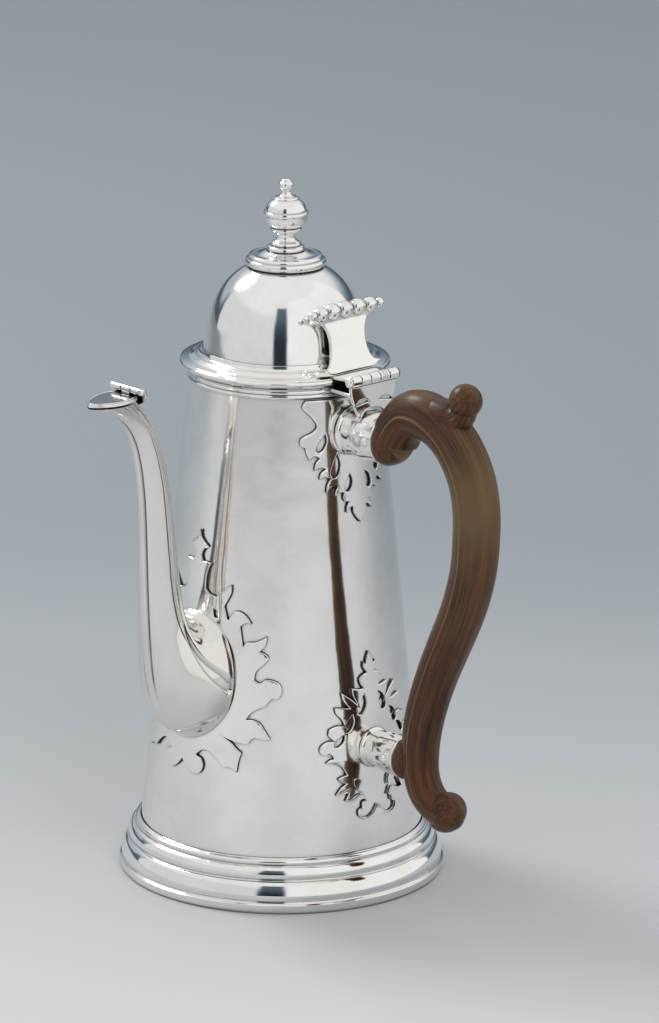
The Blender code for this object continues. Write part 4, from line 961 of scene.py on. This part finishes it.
def leaf_pairs(rows):
    """Slots mirrored on both sides, from (across, height, length, width, lean)."""
    return [leaf_slot(side * x, z, length, width, side * lean)
            for side in (-1, 1) for x, z, length, width, lean in rows]


def make_cards():
    upper = leaf_pairs([(9.2, 158.0, 8.8, 3.2, 0.22), (4.4, 151.6, 6.6, 2.9, 0.28),
                        (13.8, 166.6, 7.0, 2.6, 0.5)])
    lower = leaf_pairs([(4.6, 71.6, 7.6, 3.2, 0.35), (10.4, 65.4, 6.8, 2.8, 0.5), (14.4, 59.8, 5.6, 2.3, 0.8),
                        (7.4, 42.6, 5.0, 2.2, 2.5)])
    opening = [(CARD_OPENING_W * math.cos(TAU * k / 40), STRAINER_Z + CARD_OPENING_H * math.sin(TAU * k / 40))
               for k in range(40)]
    round_spout = [opening, leaf_slot(9.6, 104.6, 3.6, 1.9, 0.5), leaf_slot(-9.6, 104.6, 3.6, 1.9, -0.5)]
    for word, half, slots, facing in (("upper", UPPER_CARD, upper, 0),
                                     ("lower", LOWER_CARD, lower, 0),
                                     ("spout", SPOUT_CARD, round_spout, -math.pi / 2)):
        outline = flowing(both_sides(half), 5, True)
        card = plate(f"{word}_card", outline, slots, CARD_T, CARD_EDGE, on_body(facing),
                     CARD_SILVER, walls=CARD_EDGE_SHADE)
        stands_for(card, "pot", "silver_card", f"{word}_cut_card")


make_cards()


# spout and flap
SPOUT = [
    (44.2, 56.8, 41.0, 105.0, 20.2), (49.5, 58.6, 43.6, 103.4, 19.4), (55.2, 62.6, 46.6, 102.0, 17.6),
    (60.4, 69.6, 49.0, 102.4, 14.8), (64.2, 81.0, 50.8, 105.0, 11.2), (65.9, 94.0, 51.9, 109.4, 8.9),
    (66.8, 108.0, 52.7, 115.4, 7.6), (67.3, 121.0, 53.5, 122.6, 7.0), (67.6, 134.0, 54.7, 133.4, 6.5),
    (68.2, 148.0, 56.2, 146.4, 6.1), (69.6, 160.4, 58.4, 157.6, 5.9), (72.2, 170.4, 61.3, 166.8, 5.8),
    (76.6, 177.8, 65.0, 175.0, 6.0), (84.0, 182.9, 69.4, 182.0, 6.7), (92.0, 186.0, 73.6, 187.2, 7.4)
]


def spout_rings(inset, marks=None):
    """Rings up the spout; given a list for marks, they get rib, drop and creases, and the list gets how much
    painted shade each outer point takes in its creases and beside its rib.
    """
    rows = curve_through(SPOUT, SPOUT_STEPS)
    rings = []
    for index, (fy, fz, by, bz, width) in enumerate(rows):
        at = index / (len(rows) - 1)
        front, back = Vector((0, -fy, fz)), Vector((0, -by, bz))
        middle, reach = (front + back) / 2, (front - back) / 2
        reach *= (reach.length - inset) / reach.length
        wide = width - inset
        lip = 0.3 * max(0.0, (at - 0.80) / 0.20)
        # the rib runs down the front to a raised drop; the crease runs down the back of each side
        rib_half = 0.75 + 1.7 * max(0.0, 0.86 - at) ** 1.2
        rib_on = unit((at - 0.24) / 0.05) * unit((0.93 - at) / 0.06)
        drop = bell(at, 0.235, 0.018)
        crease_at = 0.49 + 0.215 * unit((at - 0.04) / 0.42) ** 0.8
        crease_deep = (0.80 + 1.9 * bell(at, 0.09, 0.13)) * min(1.0, at / 0.03)
        crease_wide = 0.55 + 1.3 * bell(at, 0.09, 0.16)
        ring = []
        for k in range(SPOUT_SIDES):
            angle = TAU * k / SPOUT_SIDES
            ahead, aside = math.cos(angle), math.sin(angle)
            narrow = 1 - lip * max(ahead, 0.0)
            point = middle + reach * ahead + Vector((wide * aside * narrow, 0, 0))
            if marks is not None:
                outward = reach.normalized() * ahead / reach.length + Vector((aside / wide, 0, 0))
                outward.normalize()
                girth = math.hypot(reach.length * aside, wide * ahead)
                turn = min(angle, TAU - angle)
                off_front = turn * girth
                rise = 0.60 * rib_on * (1 - smooth(off_front, rib_half * 0.8, rib_half + 0.2))
                rise -= 0.50 * rib_on * bell(off_front - rib_half, 0.45, 0.42)
                rise += 1.0 * drop * (1 - smooth(off_front, 0.6, 2.2))
                away = abs(turn - math.pi * crease_at) * girth
                rise -= crease_deep * bell(away, 0, crease_wide)
                if turn > math.pi * crease_at:
                    rise += 0.45 * (1 - bell(away, 0, 1.4)) * min(1.0, at / 0.05)
                point += outward * rise
                # painted shade in the crease and in the groove beside the rib
                marks.append(max(bell(away, 0, crease_wide * 0.75) * min(1.0, crease_deep),
                                 rib_on * bell(off_front - rib_half, 0.45, 0.34)))
            ring.append(point)
        rings.append(ring)
    return rings


def make_spout():
    marks = []
    outer, inner = spout_rings(0.0, marks), spout_rings(SPOUT_WALL)
    bm = bmesh.new()
    crease_shade = bm.verts.layers.float.new("crease_shade")
    loops = [[bm.verts.new(p * MM) for p in ring] for ring in outer + list(reversed(inner))]
    for a, b in zip(loops, loops[1:] + loops[:1]):
        for i in range(SPOUT_SIDES):
            j = (i + 1) % SPOUT_SIDES
            bm.faces.new((a[i], a[j], b[j], b[i]))
    # the painted shade of the creases goes into the attribute that the silver reads
    for v, dark in zip((v for loop in loops[:len(outer)] for v in loop), marks):
        v[crease_shade] = dark
    spout = finish_mesh(bm, "spout_tube", CAST_SILVER_PAINTED_DARK, 50)
    stands_for(spout, "pot", "silver_spout", "spout")


def flap_place(u, v, h):
    """The flap's plane: v runs from the hinge to the pouring tip, which droops a little."""
    back, front = Vector((0, -73.6, 187.5)), Vector((0, -92.4, 186.3))
    way = (front - back).normalized()
    up = Vector((1, 0, 0)).cross(way)
    if up.z < 0:
        up = -up
    return (back + way * v + Vector((u, 0, 0)) + up * (h + 0.3)) * MM


def flap_line(grow):
    right = [
        (0, -0.4 - grow * 0.2), (3.8, 0.0 - grow * 0.2), (6.4 + grow, 2.6), (7.5 + grow, 6.4),
        (7.0 + grow, 10.6), (5.2 + grow * 0.9, 14.2), (2.6 + grow * 0.8, 17.2), (0, 18.7 + grow, 1)
    ]
    return flowing(both_sides(right), 6, True)


def make_flap():
    parts = [plate("flap_sheet", flap_line(0), [], 1.0, 0.3, flap_place, FITTING_SILVER, 1.5)]
    for grow, low, thick in ((0.15, 0.0, 0.55), (-0.55, 0.75, 0.65)):
        band = plate("band", flap_line(grow), [flap_line(grow - 0.95)], thick, 0.22,
                     lambda u, v, h, low=low: flap_place(u, v, h + low), FITTING_SILVER, 1.5)
        parts.append(band)
    (a, b), (c, d), (e, f) = spans(3, FLAP_LEN, 0.3)
    parts.append(knuckle("flap_knuckle", c, d, 0, 0, FLAP_R))
    turn_to_x(parts[-1])
    outline = soften([(c + 0.2, -1.6), (d - 0.2, -1.6), (d - 0.2, 2.0), (c + 0.2, 2.0)], 0.4, True)
    web = plate("web", outline, [], 1.6, 0.3, lambda u, v, h: flap_place(u, v, h + 0.4), FITTING_SILVER)
    parts.append(web)
    rim = join("flap_rim", parts)
    stands_for(rim, "flap", "silver_fittings", "spout_flap")
    top = plate("flap_panel", flap_line(-1.2), [], 0.25, 0.08, lambda u, v, h: flap_place(u, v, h + 0.95),
                FLAP_SILVER, 1.5)
    stands_for(top, "flap", "silver_flap")
    fixed = []
    for start, end in ((a, b), (e, f)):
        piece = knuckle("fixed", start, end, 0, 0, FLAP_R)
        turn_to_x(piece)
        fixed.append(piece)
    back = [
        (-7.2, 0.2, 1), (-7.2, -2.6), (-4.6, -4.9), (0, -6.2), (4.6, -4.9), (7.2, -2.6), (7.2, 0.2, 1),
        (2.7, 0.2, 1), (2.7, -2.2, 1), (-2.7, -2.2, 1), (-2.7, 0.2, 1)
    ]
    strap = plate("strap", flowing(back, 5, True), [], 1.1, 0.3,
                  lambda u, v, h: Vector((u, FLAP_Y + 1.3 + h - 0.35 * v, FLAP_Z + v)) * MM, FITTING_SILVER)
    stands_for(join("flap_hinge_plate", fixed + [strap]), "pot", "silver_fittings", "spout_hinge_bracket")
    place = axis_place((0, FLAP_Y, FLAP_Z), (1, 0, 0), (0, 1, 0))
    balls = []
    for side in (-1, 1):
        centre = side * (FLAP_LEN / 2 + 0.35)
        turns = [math.pi * k / 10 for k in range(11)]
        line = [(1.2 * math.sin(a) if 0 < k < 10 else 0, centre + 0.85 * math.cos(a))
                for k, a in enumerate(turns)]
        balls.append(turned("ball", line, FITTING_SILVER, 28, False, place))
    balls.append(rod(FLAP_LEN / 2, 0.5, 20, place))
    stands_for(join("flap_pin", balls), "pot", "silver_fittings", "spout_hinge_pin")


def turn_to_x(piece):
    """A knuckle made along Y at the origin is laid along X on the flap's hinge axis."""
    for v in piece.data.vertices:
        x, y, z = v.co
        v.co = (y, FLAP_Y * MM - x, FLAP_Z * MM + z)


make_spout()
make_flap()
